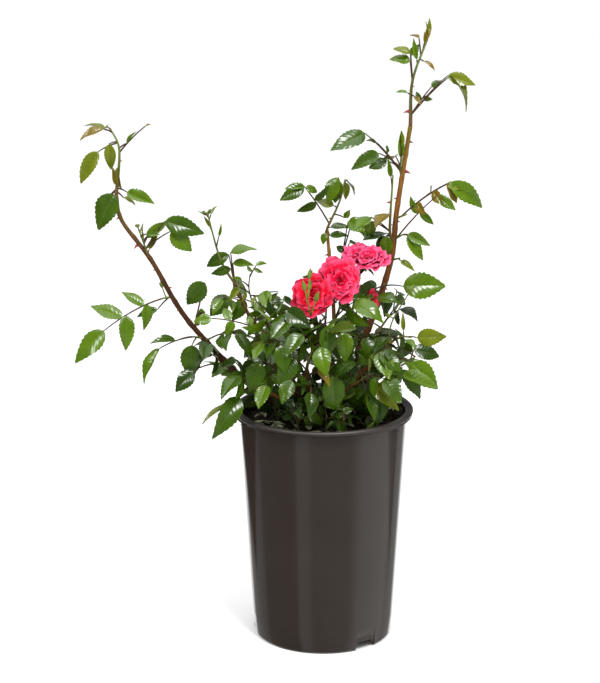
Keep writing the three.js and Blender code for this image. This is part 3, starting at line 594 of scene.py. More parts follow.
def prickles_on(line, girth, places, chance):
    """Prickles at places (share, bearing, size) of a limb, set into its skin."""
    shells = []
    for share, bearing, size in places:
        (foot,), (along,) = points_along(line, share)
        out = heading(bearing, 0)
        out = unit(out - along * (out @ along))
        radius = girth[0] + (girth[1] - girth[0]) * share
        length = PRICKLE_LENGTH * size * chance.uniform(0.8, 1.0) * (radius / 3) ** 0.4
        shells.append(prickle(foot + out * 0.85 * radius, along, out, length))
    return shells


def make_prickle_horn():
    """Red horn, darker towards brown in patches, with a waxy shine."""
    material, tree = start_material("prickle_horn", Roughness=0.3)
    colour = blend_colours(tree, mottle(tree, 300), (0.3, 0.035, 0.03), (0.16, 0.03, 0.02))
    return led(material, Base_Color=colour)


# Share of the way up, bearing and size of the prickles that stand out most. The others go up in a
# spiral.
PLACED_PRICKLES = {
    "right_cane": ((0.85, 0, 1.45), (0.95, 350, 0.9), (0.77, 262, 1.1), (0.63, 10, 0.9), (0.53, 190, 0.8)),
    "left_cane": ((0.83, 195, 1.4), (0.66, 10, 0.8), (0.93, 200, 0.9)),
    "middle_cane": ((0.86, 185, 1.0), (0.6, 0, 0.9)),
}
prickle_chance = np.random.default_rng(8)
prickle_horn = make_prickle_horn()
prickle_shells = []
for cane, (_, girth, _) in CANES.items():
    length = line_length(cane_lines[cane])
    ups = np.arange(26, length, PRICKLE_GAP)
    grown = [(up / length, SPIRAL * i + prickle_chance.uniform(-25, 25), 0.8) for i, up in enumerate(ups)]
    places = [*grown, *PLACED_PRICKLES.get(cane, ())]
    prickle_shells += prickles_on(cane_lines[cane], girth, places, prickle_chance)
make_piece("prickles", prickle_shells, [prickle_horn])

# ---------------------------------------------------------------------------- shoots and leaves
# Green shoots grow on the canes, and each carries compound leaves: a thin stalk with a leaflet at
# its end and up to three pairs along it. A leaflet is a toothed blade folded along its midrib.

# A shoot's row: its cane, its share of the way up, its girth at foot and tip, and each span's
# bearing, rise and length. Then a row for each leaf: share up the shoot, bearing, rise and length
# of its stalk, number of leaflets, length of the end one and how far it falls, and where it
# matters habit and tint.
MATURE, YOUNG, SLIM, BROAD, OPEN = range(5)
SPRAYS = {
    "left_tip": ("left_cane", 1, (1.9, 0.8), ((0, 85, 46), (193, 69, 24)), (
        (0.62, 0, 45, 38, 1, 6, 20, YOUNG), (0.68, 346, 34, 10, 1, 16, -25, SLIM),
        (0.76, 202, -20, 22, 1, 38, 35, YOUNG, "olive"), (0.78, 206, -10, 9, 1, 27, 82, YOUNG, "olive"),
        (0.93, 200, 26, 10, 1, 27, 36, YOUNG, "bronze"), (0.95, 164, 9, 7, 1, 21, -16, YOUNG, "olive"),
        (1, 115, 5, 9, 1, 16, 10, YOUNG), (0.45, 200, -70, 3, 1, 24, 15, SLIM),
        (0.07, 200, -40, 5, 1, 38, 23, BROAD, "mid"), (0.09, 165, -47, 23, 1, 16, 8),
        (0.1, 339, -17, 12, 1, 32, -2, YOUNG, "fresh"), (0.05, 16, -44, 10, 1, 14, -24),
        (0.12, 260, 40, 4, 1, 22, -20, SLIM),
    )),
    "left_mid_spray": ("left_cane", 0.78, (1.3, 0.6), ((211, 70, 29),), (
        (0.3, 349, 55, 36, 1, 41, 70, OPEN, "mid"), (0.3, 351, 36, 33, 1, 31, 81, BROAD, "fresh"),
        (0.5, 0, 63, 7, 1, 27, 23, YOUNG, "fresh"), (0.4, 120, 60, 6, 1, 18, -10, SLIM),
        (0.6, 10, 50, 8, 1, 16, 10, SLIM), (0.1, 20, 70, 5, 1, 24, 5, SLIM),
        (1, 110, 25, 6, 1, 12, 10, YOUNG), (0.8, 340, 25, 7, 1, 14, 20, YOUNG),
    )),
    "left_long_leaf": ("left_cane", 0.63, (1.3, 0.8), ((215, 0, 13),), (
        (0.8, 207, -22, 71, 5, 42, 18, OPEN, "fresh"), (0.3, 190, -46, 17, 1, 23, -36, YOUNG, "mid"),
    )),
    "left_arch_leaf": ("left_cane", 0.5, (1.3, 0.8), ((76, 72, 15),), (
        (0.8, 348, 75, 39, 1, 34, 206), (0.95, 319, 25, 14, 1, 26, 165),
    )),
    "left_low_leaf": ("left_cane", 0.46, (1.3, 0.8), ((228, 18, 17),), (
        (0.85, 205, -12, 39, 1, 38, 38, YOUNG, "fresh"), (0.85, 214, -4, 22, 1, 28, -22, YOUNG, "mid"),
        (0.62, 241, -35, 11, 1, 35, 45, BROAD, "mid"),
    )),
    "left_inward_leaf": ("left_cane", 0.45, (1.3, 0.8), ((317, 28, 17),), (
        (0.85, 315, 15, 36, 5, 30, 50),
    )),
    "left_curl_leaf": ("left_cane", 0.35, (1.3, 0.8), ((225, 7, 14),), (
        (0.8, 213, -6, 31, 1, 30, 33), (0.5, 230, 40, 22, 3, 26, 50),
    )),
    "inner_left_tip": ("left_inner_cane", 1, (1.5, 0.7), ((180, 60, 34), (188, 75, 54)), (
        (0.05, 180, 79, 32, 1, 28, 103, OPEN, "mid"), (0.05, 180, 76, 17, 1, 23, 91, OPEN, "mid"),
        (0.05, 0, 95, 22, 1, 24, 97, YOUNG), (0.05, 0, 97, 34, 1, 29, 85, MATURE, "fresh"),
        (0.55, 307, 69, 14, 1, 14, 0, SLIM), (0.75, 150, 60, 5, 1, 13, 0, SLIM),
        (0.96, 180, -2, 4, 1, 8, -42, SLIM), (0.9, 55, 55, 6, 1, 13, 10, SLIM),
    )),
    "left_young_shoot": ("left_inner_cane", 0.7, (1.2, 0.6), ((257, 69, 23), (218, 74, 24), (301, 82, 17)), (
        (0.78, 245, 30, 18, 1, 16, 0, YOUNG), (0.66, 230, 30, 19, 3, 20, 60, YOUNG),
        (0.62, 300, 5, 22, 3, 18, 60, YOUNG), (0.96, 30, 55, 13, 3, 13, 40, YOUNG),
    )),
    "left_inner_leaf": ("left_inner_cane", 0.64, (1.3, 0.8), ((280, 60, 28),), (
        (0.9, 275, 65, 36, 5, 24, 90), (0.5, 295, 15, 36, 3, 32, 40),
    )),
    "middle_tip": ("middle_cane", 1, (1.4, 0.7), ((12, 65, 33), (11, 77, 23)), (
        (0.1, 200, 56, 51, 3, 29, 81, OPEN, "mid"), (0.1, 200, 56, 50, 1, 22, 51, YOUNG, "fresh"),
        (0.1, 200, 56, 48, 1, 16, 225), (0.6, 200, 85, 24, 1, 31, 140),
        (0.6, 170, 80, 22, 1, 26, 165, MATURE, "fresh"), (0.63, 36, 70, 20, 1, 20, 115),
        (0.55, 34, 71, 22, 1, 20, 151, YOUNG), (0.44, 180, 30, 4, 1, 19, 10),
        (0.3, 333, -12, 13, 1, 11, -67), (0.02, 10, 0, 3, 1, 24, -2, YOUNG, "mid"),
        (0.02, 236, -46, 7, 1, 12, 19), (0, 350, -70, 8, 1, 20, -75, YOUNG, "mid"),
    )),
    "middle_right_leaf": ("middle_cane", 0.72, (1.3, 0.8), ((40, 56, 28),), (
        (0.9, 317, 78, 43, 1, 27, 88, MATURE, "fresh"), (0.9, 331, 74, 45, 1, 26, 109, MATURE, "fresh"),
        (0.9, 40, 55, 20, 3, 16, 60),
    )),
    "bloom_left": ("bloom_cane", 1, (1.6, 1.3), ((170, 80, 24), (210, 75, 16)), (
        (0.25, 220, 25, 38, 3, 34, 60), (0.3, 285, 5, 34, 3, 32, 70),
    )),
    "bloom_centre": ("bloom_cane", 0.84, (1.5, 1.2), ((31, 60, 42), (5, 75, 34)), (
        (0.45, 320, 40, 33, 3, 36, 60), (0.25, 290, 10, 36, 3, 30, 70),
    )),
    "bloom_right": ("bloom_cane", 0.63, (1.5, 1.2), ((37, 47, 29), (38, 60, 31), (50, 72, 50)), (
        (0.5, 335, 40, 40, 3, 24, 40), (0.3, 310, 10, 34, 3, 28, 60),
    )),
    "right_tip": ("right_cane", 1, (2.1, 0.8), ((303, 87, 47), (352, 71, 46)), (
        (0.12, 345, 48, 57, 1, 28, 63, OPEN, "olive"), (0.12, 345, 46, 59, 1, 37, 93, YOUNG, "olive"),
        (0.12, 349, 55, 37, 3, 12, 20), (0.5, 180, 83, 21, 1, 22, 68), (0.5, 180, 85, 29, 1, 18, 60),
        (0.5, 180, 86, 27, 1, 14, -39, MATURE, "fresh"), (0.8, 136, 81, 18, 1, 14, 66, YOUNG, "bronze"),
        (0.76, 350, -25, 5, 1, 14, 5, YOUNG), (0.98, 0, 76, 6, 1, 16, -9, SLIM, "olive"),
        (0.96, 60, 80, 6, 1, 15, -5, SLIM), (0.9, 0, 86, 4, 1, 11, -5, SLIM),
        (0.85, 350, 80, 10, 1, 22, 6, SLIM, "bronze"), (0.7, 200, 80, 5, 1, 22, 2, SLIM),
        (0.35, 308, -10, 6, 1, 13, 10, YOUNG), (0.35, 170, 30, 4, 1, 12, 20, YOUNG),
    )),
    "right_upper_left_leaf": ("right_cane", 0.83, (1.3, 0.8), ((239, 63, 10), (285, 65, 15)), (
        (0.31, 212, 44, 62, 1, 43, 57, OPEN, "mid"), (0.31, 209, 48, 43, 3, 12, 23),
        (0.5, 211, 32, 32, 1, 34, 52, YOUNG, "mid"), (0.45, 196, 30, 17, 1, 19, 50, MATURE, "mid"),
        (0.7, 294, 83, 18, 1, 16, -2, SLIM), (0.6, 280, 84, 8, 1, 26, 0, SLIM, "fresh"),
        (0.53, 110, 35, 15, 1, 14, 40),
    )),
    "right_side_shoot": ("right_cane", 0.61, (1.7, 0.8), ((236, 60, 17), (285, 82, 60)), (
        (0.83, 240, 75, 12, 1, 20, 10, SLIM), (0.45, 229, 12, 4, 1, 26, 22, MATURE, "bronze"),
        (0.2, 214, 36, 31, 1, 27, 61, MATURE, "fresh"), (0.2, 206, 30, 26, 1, 19, 115, MATURE, "fresh"),
        (0.15, 225, 0, 6, 1, 24, 60), (0.15, 208, 22, 7, 1, 28, 22),
        (0.1, 250, 17, 15, 1, 24, 107, MATURE, "fresh"),
    )),
    "right_long_leaf": ("right_cane", 0.69, (1.3, 0.8), ((318, 23, 16),), (
        (0.5, 355, 37, 59, 5, 25, 97, MATURE, "bronze"), (0.5, 355, 37, 58, 1, 17, 52, MATURE, "olive"),
        (0.5, 355, 36, 61, 1, 43, 68, YOUNG, "fresh"),
    )),
    "right_outer_leaf": ("right_cane", 0.62, (1.3, 0.8), ((309, 28, 16),), (
        (0.9, 335, 10, 6, 1, 27, 30, YOUNG, "fresh"), (0.9, 330, 0, 6, 1, 31, 52, YOUNG, "fresh"),
        (0.3, 346, 48, 63, 3, 24, 83, OPEN, "fresh"),
    )),
    "right_small_leaf": ("right_cane", 0.55, (1.3, 0.8), ((315, 18, 13),), (
        (0.8, 327, -32, 4, 1, 18, -12, YOUNG, "olive"),
    )),
    "right_large_leaf": ("right_cane", 0.47, (1.3, 0.8), ((265, 0, 15),), (
        (0.8, 350, 1, 20, 1, 43, -2, BROAD, "fresh"), (0.9, 227, -6, 19, 1, 32, -6),
        (0.9, 270, -10, 28, 1, 20, 60),
    )),
    "right_low_tip": ("right_low_cane", 1, (1.4, 0.8), ((350, 23, 12), (342, -5, 8)), (
        (0.8, 345, -2, 10, 1, 28, -8, BROAD, "olive"), (0.6, 97, 60, 6, 1, 20, -15, SLIM),
        (0.4, 325, -14, 6, 1, 16, 0, MATURE, "fresh"), (0.3, 235, 15, 22, 3, 24, 40),
    )),
    "right_bud_stem": ("right_low_cane", 0.93, (0.9, 0.6), ((55, 73, 25), (14, 59, 33)), ()),
    "right_low_leaf": ("right_low_cane", 0.84, (1.3, 0.8), ((305, -5, 17),), (
        (0.82, 335, -7, 24, 1, 39, 33, BROAD, "fresh"), (0.62, 285, -5, 16, 1, 32, 60, BROAD, "mid"),
    )),
    "right_front_leaf": ("right_low_cane", 0.7, (1.3, 0.8), ((288, 32, 17),), (
        (0.88, 280, 30, 29, 3, 32, 70),
    )),
    "right_long_low_leaf": ("right_low_cane", 0.57, (1.3, 0.8), ((310, -9, 24),), (
        (0.87, 329, 17, 33, 3, 41, 28, YOUNG, "fresh"), (0.6, 280, -10, 34, 3, 32, 60),
    )),
    "low_left_tip": ("low_left_cane", 1, (1.4, 0.8), ((221, 26, 13),), (
        (0.75, 228, -35, 17, 1, 45, 0, OPEN, "mid"), (0.9, 230, 45, 18, 3, 32, 70),
        (0.5, 204, -35, 30, 1, 33, -15, SLIM, "olive"), (0.4, 150, 50, 30, 3, 28, 60),
    )),
    "front_left_tip": ("front_left_cane", 1, (1.4, 0.8), ((225, 70, 17),), (
        (0.85, 264, 48, 24, 3, 38, 20), (0.5, 178, 15, 61, 5, 19, 20), (0.2, 290, 0, 31, 3, 28, 60),
        (0.9, 330, 45, 30, 3, 30, 70),
    )),
    "front_left_side": ("front_left_cane", 0.69, (1.3, 0.8), ((236, 13, 12),), (
        (0.85, 225, 25, 25, 3, 32, 90), (0.6, 175, -40, 21, 3, 26, 40), (0.9, 250, -25, 28, 3, 26, 20),
    )),
    "front_tip": ("front_cane", 1, (1.3, 0.8), ((327, 64, 16),), (
        (0.85, 310, 35, 24, 3, 32, 20), (0.45, 235, 30, 29, 3, 28, 60), (0.3, 280, 10, 28, 3, 30, 60),
    )),
    "front_low_leaf": ("front_cane", 0.7, (1.3, 0.8), ((292, 9, 12),), (
        (0.75, 312, 8, 34, 1, 40, 92, BROAD, "mid"), (0.5, 235, 40, 38, 3, 36, 90),
        (0.75, 240, 5, 40, 3, 28, 60), (0.9, 270, -15, 36, 3, 26, 30), (1, 295, 30, 23, 1, 22, 60, YOUNG),
    )),
    "front_right_tip": ("front_right_cane", 1, (1.3, 0.8), ((323, 39, 13),), (
        (0.85, 315, 5, 26, 3, 30, 40), (0.5, 318, -18, 14, 1, 36, 12, YOUNG),
        (0.3, 300, -40, 16, 1, 30, 10, YOUNG, "mid"), (0.5, 235, 50, 29, 3, 28, 60),
        (0.95, 330, 60, 30, 3, 28, 90),
    )),
}
BUSHY_SEED = 11
LEAF_SEED = 100
BUSHY_LEAVES = 4
# For each habit of a leaflet: width by length, how far it is folded up, and how far that varies.
HABITS = {
    MATURE: (0.62, 0.2, 0.16),
    YOUNG: (0.42, 0.5, 0.1),
    SLIM: (0.25, 0.8, 0.1),
    BROAD: (0.62, 0.1, 0.04),
    OPEN: (0.47, 0.15, 0.05),
}
# The way that a leaf's upper side faces, and that a broad or an open one's does.
LIGHT = unit(np.array([0.05, -0.62, 0.78]))
OPEN_LIGHT = np.array([0.0, -0.96, 0.28])
UP = np.array([0.0, 0.0, 1.0])
# How far up its stalk each pair of leaflets stands, for leaves of one, three, five and seven.
PAIR_PLACES = ((), (0.55,), (0.66, 0.3), (0.72, 0.42, 0.12))
PAIR_SIZES = (0.8, 0.64, 0.5)
PAIR_STAGGER = 1.7
SHINGLE = 0.3


def seeded(seed):
    """mulberry32: a stream of chances from 0 to 1, kept to 32-bit whole numbers."""
    state = seed

    def chance():
        nonlocal state
        state = (state + 0x6D2B79F5) & 0xFFFFFFFF
        t = ((state ^ (state >> 15)) * (state | 1)) & 0xFFFFFFFF
        t ^= (t + (t ^ (t >> 7)) * (t | 61)) & 0xFFFFFFFF
        return (t ^ (t >> 14)) / 4294967296

    return chance


def spread(chance, size):
    """A draw from -size to size."""
    return (2 * chance() - 1) * size


def bushy_spray(cane, at, stretch, lean, chance):
    """A spray whose four leaves stand in a spiral, on a stem that leans aside from its cane."""
    bearing, rise = CANES[cane][2][1][:2]
    leaves = []
    for i in range(BUSHY_LEAVES):
        along = 0.2 + 0.8 * i / (BUSHY_LEAVES - 1)
        turn = bearing + lean + SPIRAL * (i + 1) + spread(chance, 15)
        size = 30 + spread(chance, 6)
        lift = 20 + spread(chance, 20)
        stalk = 30 + spread(chance, 8)
        leaves.append((along, turn, lift, stalk, 3, size, 50 + spread(chance, 20)))
    return cane, at, (1.3, 0.8), ((bearing + lean, rise - 10, stretch),), leaves


def turned(vector, axis, angle):
    """A vector turned about a unit axis by an angle in radians."""
    return (
        vector * math.cos(angle)
        + np.cross(axis, vector) * math.sin(angle)
        + axis * (axis @ vector) * (1 - math.cos(angle))
    )


def square_to(direction, vector):
    """The part of a vector that stands square to a unit direction, as a unit vector."""
    return unit(vector - direction * (vector @ direction))


def habit_and_tint(row):
    """What a leaf's row says of its habit and its tint, the tint being None if it is to be dealt."""
    return row[7] if len(row) > 7 else MATURE, row[8] if len(row) > 8 else None


def leaf_plan(base, row, chance, looseness=28):
    """One compound leaf: the line of its stalk, a parabola that lifts at mid-length by an eighth
    of what runs level, and how each leaflet lies, the end one first, then each pair's two."""
    _, bearing, rise, length, leaflets, size, fall = row[:7]
    habit, _ = habit_and_tint(row)
    breadth, fold, varied = HABITS[habit]
    towards = heading(bearing, rise)
    end = base + towards * length
    crest = base + towards * 0.5 * length + UP * 0.12 * length * math.cos(math.radians(rise))
    facing = OPEN_LIGHT if habit in (BROAD, OPEN) else LIGHT + 0.25 * heading(bearing, 0)
    roll = math.radians(spread(chance, 8 if habit in (BROAD, OPEN) else looseness))
    plan = []

    def place(root, direction, scale, tilted):
        grown = scale * size * (1 + spread(chance, 0.08))
        up = turned(square_to(direction, tilted), direction, spread(chance, 0.1))
        droop = 0.12 + spread(chance, 0.08)
        folded = fold + spread(chance, varied)
        plan.append((root, direction, up, grown, breadth * grown, folded, droop))

    end_way = heading(bearing + spread(chance, 8), rise - fall)
    place(end, end_way, 1, turned(square_to(end_way, facing), end_way, roll))
    for rank, at in enumerate(PAIR_PLACES[(leaflets - 1) // 2]):
        tangent = unit((1 - at) * (crest - base) + at * (end - crest))
        up = turned(square_to(tangent, facing), tangent, roll)
        side = np.cross(tangent, up)
        spot = (1 - at) ** 2 * base + 2 * at * (1 - at) * crest + at**2 * end
        for hand in (1, -1):
            direction = tangent * (0.45 + spread(chance, 0.12)) + side * hand
            direction = unit(direction + UP * (-0.16 - 0.0045 * fall))
            place(spot + tangent * hand * PAIR_STAGGER, direction, PAIR_SIZES[rank], up - tangent * SHINGLE)
    t = np.linspace(0, 1, 13)[:, None]
    return (1 - t) ** 2 * base + 2 * t * (1 - t) * crest + t**2 * end, plan


def blade_template(teeth):
    """Triangles of one leaflet whose points are its root, then for each cross-section the margin,
    the half-way line, the midrib, the same again and the keel below, and last its tip."""
    rows = 2 * teeth - 1
    strips = [(0, 1), (1, 2), (2, 3), (3, 4)]
    last = 1 + 6 * rows
    base = 1 + 6 * np.arange(rows - 1)
    quads = [np.stack([base + a, base + b, base + 6 + b, base + 6 + a], 1) for a, b in strips]
    under = [np.stack([base + a, base + 6 + a, base + 6 + b, base + b], 1) for a, b in ((0, 5), (5, 4))]
    ends = [(0, 1 + b, 1 + a) for a, b in strips] + [(last - 6 + a, last - 6 + b, last) for a, b in strips]
    ends_under = [(0, 1, 6), (0, 6, 5), (last - 6, last, last - 1), (last - 1, last, last - 2)]
    top = np.concatenate([split_quads(np.concatenate(quads)), ends])
    below = np.concatenate([split_quads(np.concatenate(under)), ends_under])
    return np.concatenate([top, below]), np.repeat([0, 1], [len(top), len(below)])


def blades(plans, teeth, chance):
    """Leaflets as closed lenses. At share t of the length the half width is half the width times
    sin(pi t^0.74)^0.78 (1 - t^5 / 4), with a tooth pushed out and forward at every other section.
    The blade rises by its fold from the midrib to the margin, bulges between them, waves along its
    margin, droops by t squared, curls under by t to the fourth, and twists evenly to the tip."""
    roots, ways, ups = (np.stack([p[i] for p in plans]) for i in range(3))
    length, width, fold, droop = (np.array([p[i] for p in plans])[:, None] for i in range(3, 7))
    count = len(plans)
    rows = 2 * teeth - 1
    t = np.arange(1, rows + 1) / (rows + 1)
    outline = np.sin(np.pi * t**0.74) ** 0.78 * (1 - 0.25 * t**5)
    tooth = np.where(np.arange(rows) % 2 == 0, 1.0, -0.4) * np.clip(t / 0.2, 0, 1)
    half = 0.5 * width * outline
    twist = chance.uniform(-0.5, 0.5, (count, 1)) * t
    curl = chance.uniform(-0.05, 0.27, (count, 1))
    phase = chance.uniform(0, 2 * np.pi, (count, 1))
    side = unit(np.cross(ways, ups))
    across = side[:, None] * np.cos(twist)[..., None] + ups[:, None] * np.sin(twist)[..., None]
    lift = ups[:, None] * np.cos(twist)[..., None] - side[:, None] * np.sin(twist)[..., None]
    middle = roots[:, None] + ways[:, None] * (length * t)[..., None]
    middle = middle - ups[:, None] * (length * (droop * t**2 + curl * t**4))[..., None]
    wave = 0.1 * np.sin(2 * np.pi * 1.4 * t + phase)
    columns = []
    for c in (-1, -0.5, 0, 0.5, 1):
        out = c * half * (1 + (0.075 * tooth if abs(c) == 1 else 0))
        bulge = 0.12 * (1 - (2 * abs(c) - 1) ** 2)
        height = half * (fold * abs(c) + bulge + wave * c * abs(c))
        point = middle + across * out[..., None] + lift * height[..., None]
        if abs(c) == 1:
            point = point + ways[:, None] * (0.012 * length * np.clip(tooth, 0, 1))[..., None]
        columns.append(point)
    columns.append(columns[2] - lift * 0.45)
    sections = np.stack(columns, 2)
    tips = roots + ways * length - ups * length * (droop + curl)
    points = np.concatenate([roots[:, None], sections.reshape(count, -1, 3), tips[:, None]], 1)
    faces, picks = blade_template(teeth)
    offsets = (np.arange(count) * points.shape[1])[:, None, None]
    across_share = np.array([0, 0.25, 0.5, 0.75, 1, 0.5])
    place = np.stack(np.broadcast_arrays(t[:, None], across_share), -1).reshape(-1, 2)
    place = np.concatenate([[[0, 0.5]], place, [[1, 0.5]]])
    rim = np.concatenate([[1], np.tile([1, 0, 2, 0, 1, 0], rows), [1]])
    return shell(
        points.reshape(-1, 3),
        (faces[None] + offsets).reshape(-1, 3),
        np.tile(place, (count, 1)),
        np.tile(rim, count),
        np.tile(picks, count),
    )


def make_vein_group():
    """Veins of a leaflet from its surface place: the midrib along its middle, and side veins that
    leave it every eighth of the length and sweep forward. Mask is one on a vein, and Swell is the
    blade's height: low on a vein, high between two."""
    tree, _, out = start_group("leaflet_veins", [], [("Mask", "Float"), ("Swell", "Float")])
    along, across = surface_place(tree)
    aside = math_node(tree, "ABSOLUTE", math_node(tree, "SUBTRACT", across, 0.5))
    swept = math_node(tree, "MULTIPLY_ADD", aside, -0.42, along)
    beat = math_node(tree, "PINGPONG", math_node(tree, "MULTIPLY", swept, 8.0), 0.5)
    vein = math_node(tree, "MULTIPLY_ADD", beat, -9.0 * 0.45, 0.45)
    rib = math_node(tree, "MULTIPLY_ADD", aside, -26.0, 1.0)
    mask = add_node(tree, "ShaderNodeClamp", {0: math_node(tree, "MAXIMUM", vein, rib)})
    tree.links.new(mask.outputs[0], out.inputs["Mask"])
    tree.links.new(math_node(tree, "MULTIPLY", beat, 2.0), out.inputs["Swell"])
    return tree


vein_group = make_vein_group()


def make_blade_skin(name, dark, light, vein, roughness, vein_share, swell):
    """One side of a leaflet: mottled between two greens, with paler veins that stand in furrows
    of the given depth in metres, and a cuticle whose gloss is a little uneven."""
    material, tree = start_material(name, Specular_IOR_Level=0.5)
    veins = add_node(tree, "ShaderNodeGroup", node_tree=vein_group)
    green = blend_colours(tree, mottle(tree, 70), dark, light)
    share = math_node(tree, "MULTIPLY", veins.outputs["Mask"], vein_share)
    colour = blend_colours(tree, share, green, vein)
    rough = mottle(tree, 110, roughness - 0.05, roughness + 0.08)
    return led(material, Base_Color=colour, Roughness=rough, Normal=bump(tree, veins.outputs["Swell"], swell))


# One entry for each tint that leaves are dealt: upper side dark and light, veins, then underside.
TINTS = {
    "deep": ((0.014, 0.036, 0.0005), (0.022, 0.052, 0.0008), (0.045, 0.085, 0.006), (0.055, 0.095, 0.012)),
    "mid": ((0.025, 0.058, 0.0006), (0.04, 0.086, 0.001), (0.075, 0.13, 0.01), (0.085, 0.13, 0.016)),
    "fresh": ((0.05, 0.105, 0.001), (0.082, 0.152, 0.0015), (0.14, 0.215, 0.015), (0.13, 0.18, 0.02)),
    "olive": ((0.085, 0.115, 0.001), (0.125, 0.155, 0.002), (0.18, 0.2, 0.02), (0.15, 0.165, 0.02)),
    "bronze": ((0.11, 0.085, 0.004), (0.16, 0.11, 0.006), (0.2, 0.13, 0.02), (0.16, 0.12, 0.02)),
}
# The tints that leaves are dealt at the foot, in the low crown, above HIGH_CROWN, and when young: darker ones
# low down as painted shade, lighter ones above HIGH_CROWN as painted light.
BASAL_PAINTED_SHADE_TINTS = ("deep", "deep", "mid", "deep")
LOW_PAINTED_SHADE_TINTS = ("deep", "mid", "fresh", "mid", "deep", "fresh", "mid")
HIGH_PAINTED_LIGHT_TINTS = ("mid", "fresh", "mid", "fresh", "olive", "fresh")
YOUNG_SHADES = ("olive", "bronze", "olive", "fresh")
HIGH_CROWN = 430.0
LARGE_LEAFLET = 22.0
STALK_GIRTH = (0.95, 0.6)
tint_chance = np.random.default_rng(21)
bushy_chance = seeded(BUSHY_SEED)
for side, stretch in (("back_left", 45), ("back", 45), ("back_right", 45), ("side_right", 24)):
    SPRAYS[side + "_tip"] = bushy_spray(side + "_cane", 1, stretch, 0, bushy_chance)
    SPRAYS[side + "_side"] = bushy_spray(side + "_cane", 0.55, 35, 70, bushy_chance)

shoot_lines = {}
shoot_shells = []
stalk_shells = []
leaflet_plans = {tint: [] for tint in TINTS}
for rank, (name, (cane, at, girth, course, leaves)) in enumerate(SPRAYS.items()):
    start = points_along(cane_lines[cane], at)[0][0]
    line = course_line(start, course)
    shoot_lines[name] = line
    shoot_shells.append(limb(line, girth, 8, max(6, int(line_length(line) / 3))))
    chance = seeded(LEAF_SEED + rank)
    for row in leaves:
        base = points_along(line, min(row[0], 0.98))[0][0]
        stalk, plan = leaf_plan(base, row, chance)
        habit, tint = habit_and_tint(row)
        # Leaves above HIGH_CROWN are dealt lighter tints as painted light, lower ones darker as painted
        # shade.
        shades = HIGH_PAINTED_LIGHT_TINTS if base[2] > HIGH_CROWN else LOW_PAINTED_SHADE_TINTS
        if habit in (YOUNG, SLIM):
            shades = YOUNG_SHADES
        tint = tint or str(tint_chance.choice(shades))
        leaflet_plans[tint] += plan
        stalk_shells.append(limb(stalk, STALK_GIRTH, 6, 9))

# Further leaves stand in a spiral between two shares of each lower cane, and short basal shoots
# ring the union.
LEAFY_LENGTHS = {
    "left_cane": (0.18, 0.42), "left_inner_cane": (0.2, 0.9), "middle_cane": (0.12, 0.66),
    "bloom_cane": (0.3, 0.95), "right_low_cane": (0.25, 0.95), "low_left_cane": (0.3, 0.95),
    "front_left_cane": (0.25, 0.95), "front_cane": (0.25, 0.95), "front_right_cane": (0.3, 0.95),
    "back_left_cane": (0.3, 0.95), "back_cane": (0.3, 0.95), "back_right_cane": (0.3, 0.95),
    "side_right_cane": (0.3, 0.95),
}
FILL_STALK_GIRTH = (0.85, 0.45)
BASAL_GIRTH = (1.1, 0.7)
NODE_GAP = 28.0
BASAL_SHOOTS = 20
fill_chance = seeded(77)


def grow_leaf(base, bearing, leaflets, middle, varied, shades):
    """A leaf by the same plan, hanging at random and dealt one of the shades. The rise and length
    of its stalk, the length of its end leaflet and its fall are drawn round their middles."""
    rise, stalk, size, fall = (mean + spread(fill_chance, apart) for mean, apart in zip(middle, varied))
    line, plan = leaf_plan(base, (0, bearing, rise, stalk, leaflets, size, fall), fill_chance, 60)
    leaflet_plans[str(tint_chance.choice(shades))] += plan
    stalk_shells.append(limb(line, FILL_STALK_GIRTH, 6, 8))


for cane, (low, high) in LEAFY_LENGTHS.items():
    line = cane_lines[cane]
    steps = int((high - low) * line_length(line) / NODE_GAP)
    for i in range(steps + 1):
        share = low + (high - low) * i / max(steps, 1)
        base = points_along(line, share)[0][0]
        bearing = SPIRAL * i + spread(fill_chance, 40)
        grow_leaf(base, bearing, 5, (25, 26, 23, 22), (30, 9, 7, 45), LOW_PAINTED_SHADE_TINTS)
for i in range(BASAL_SHOOTS):
    bearing = 360 * i / BASAL_SHOOTS + spread(fill_chance, 12)
    reach = 24 + 20 * (i % 3) + spread(fill_chance, 6)
    if i % 3 == 2 and not 45 < bearing < 190:
        continue
    foot = on_soil(bearing, reach, -1)
    first_span = (bearing, 65 + spread(fill_chance, 15), 15 + spread(fill_chance, 6))
    line = course_line(foot, (first_span, (bearing, 45, 10)))
    shoot_shells.append(limb(line, BASAL_GIRTH, 6, 7))
    for k in range(4):
        base = points_along(line, 0.4 + 0.2 * k)[0][0]
        turn = bearing + SPIRAL * (k + 1) + spread(fill_chance, 20)
        # Basal leaves are dealt the darkest tints, painted shade.
        grow_leaf(base, turn, 3, (35, 12, 17, 50), (25, 5, 5, 30), BASAL_PAINTED_SHADE_TINTS)

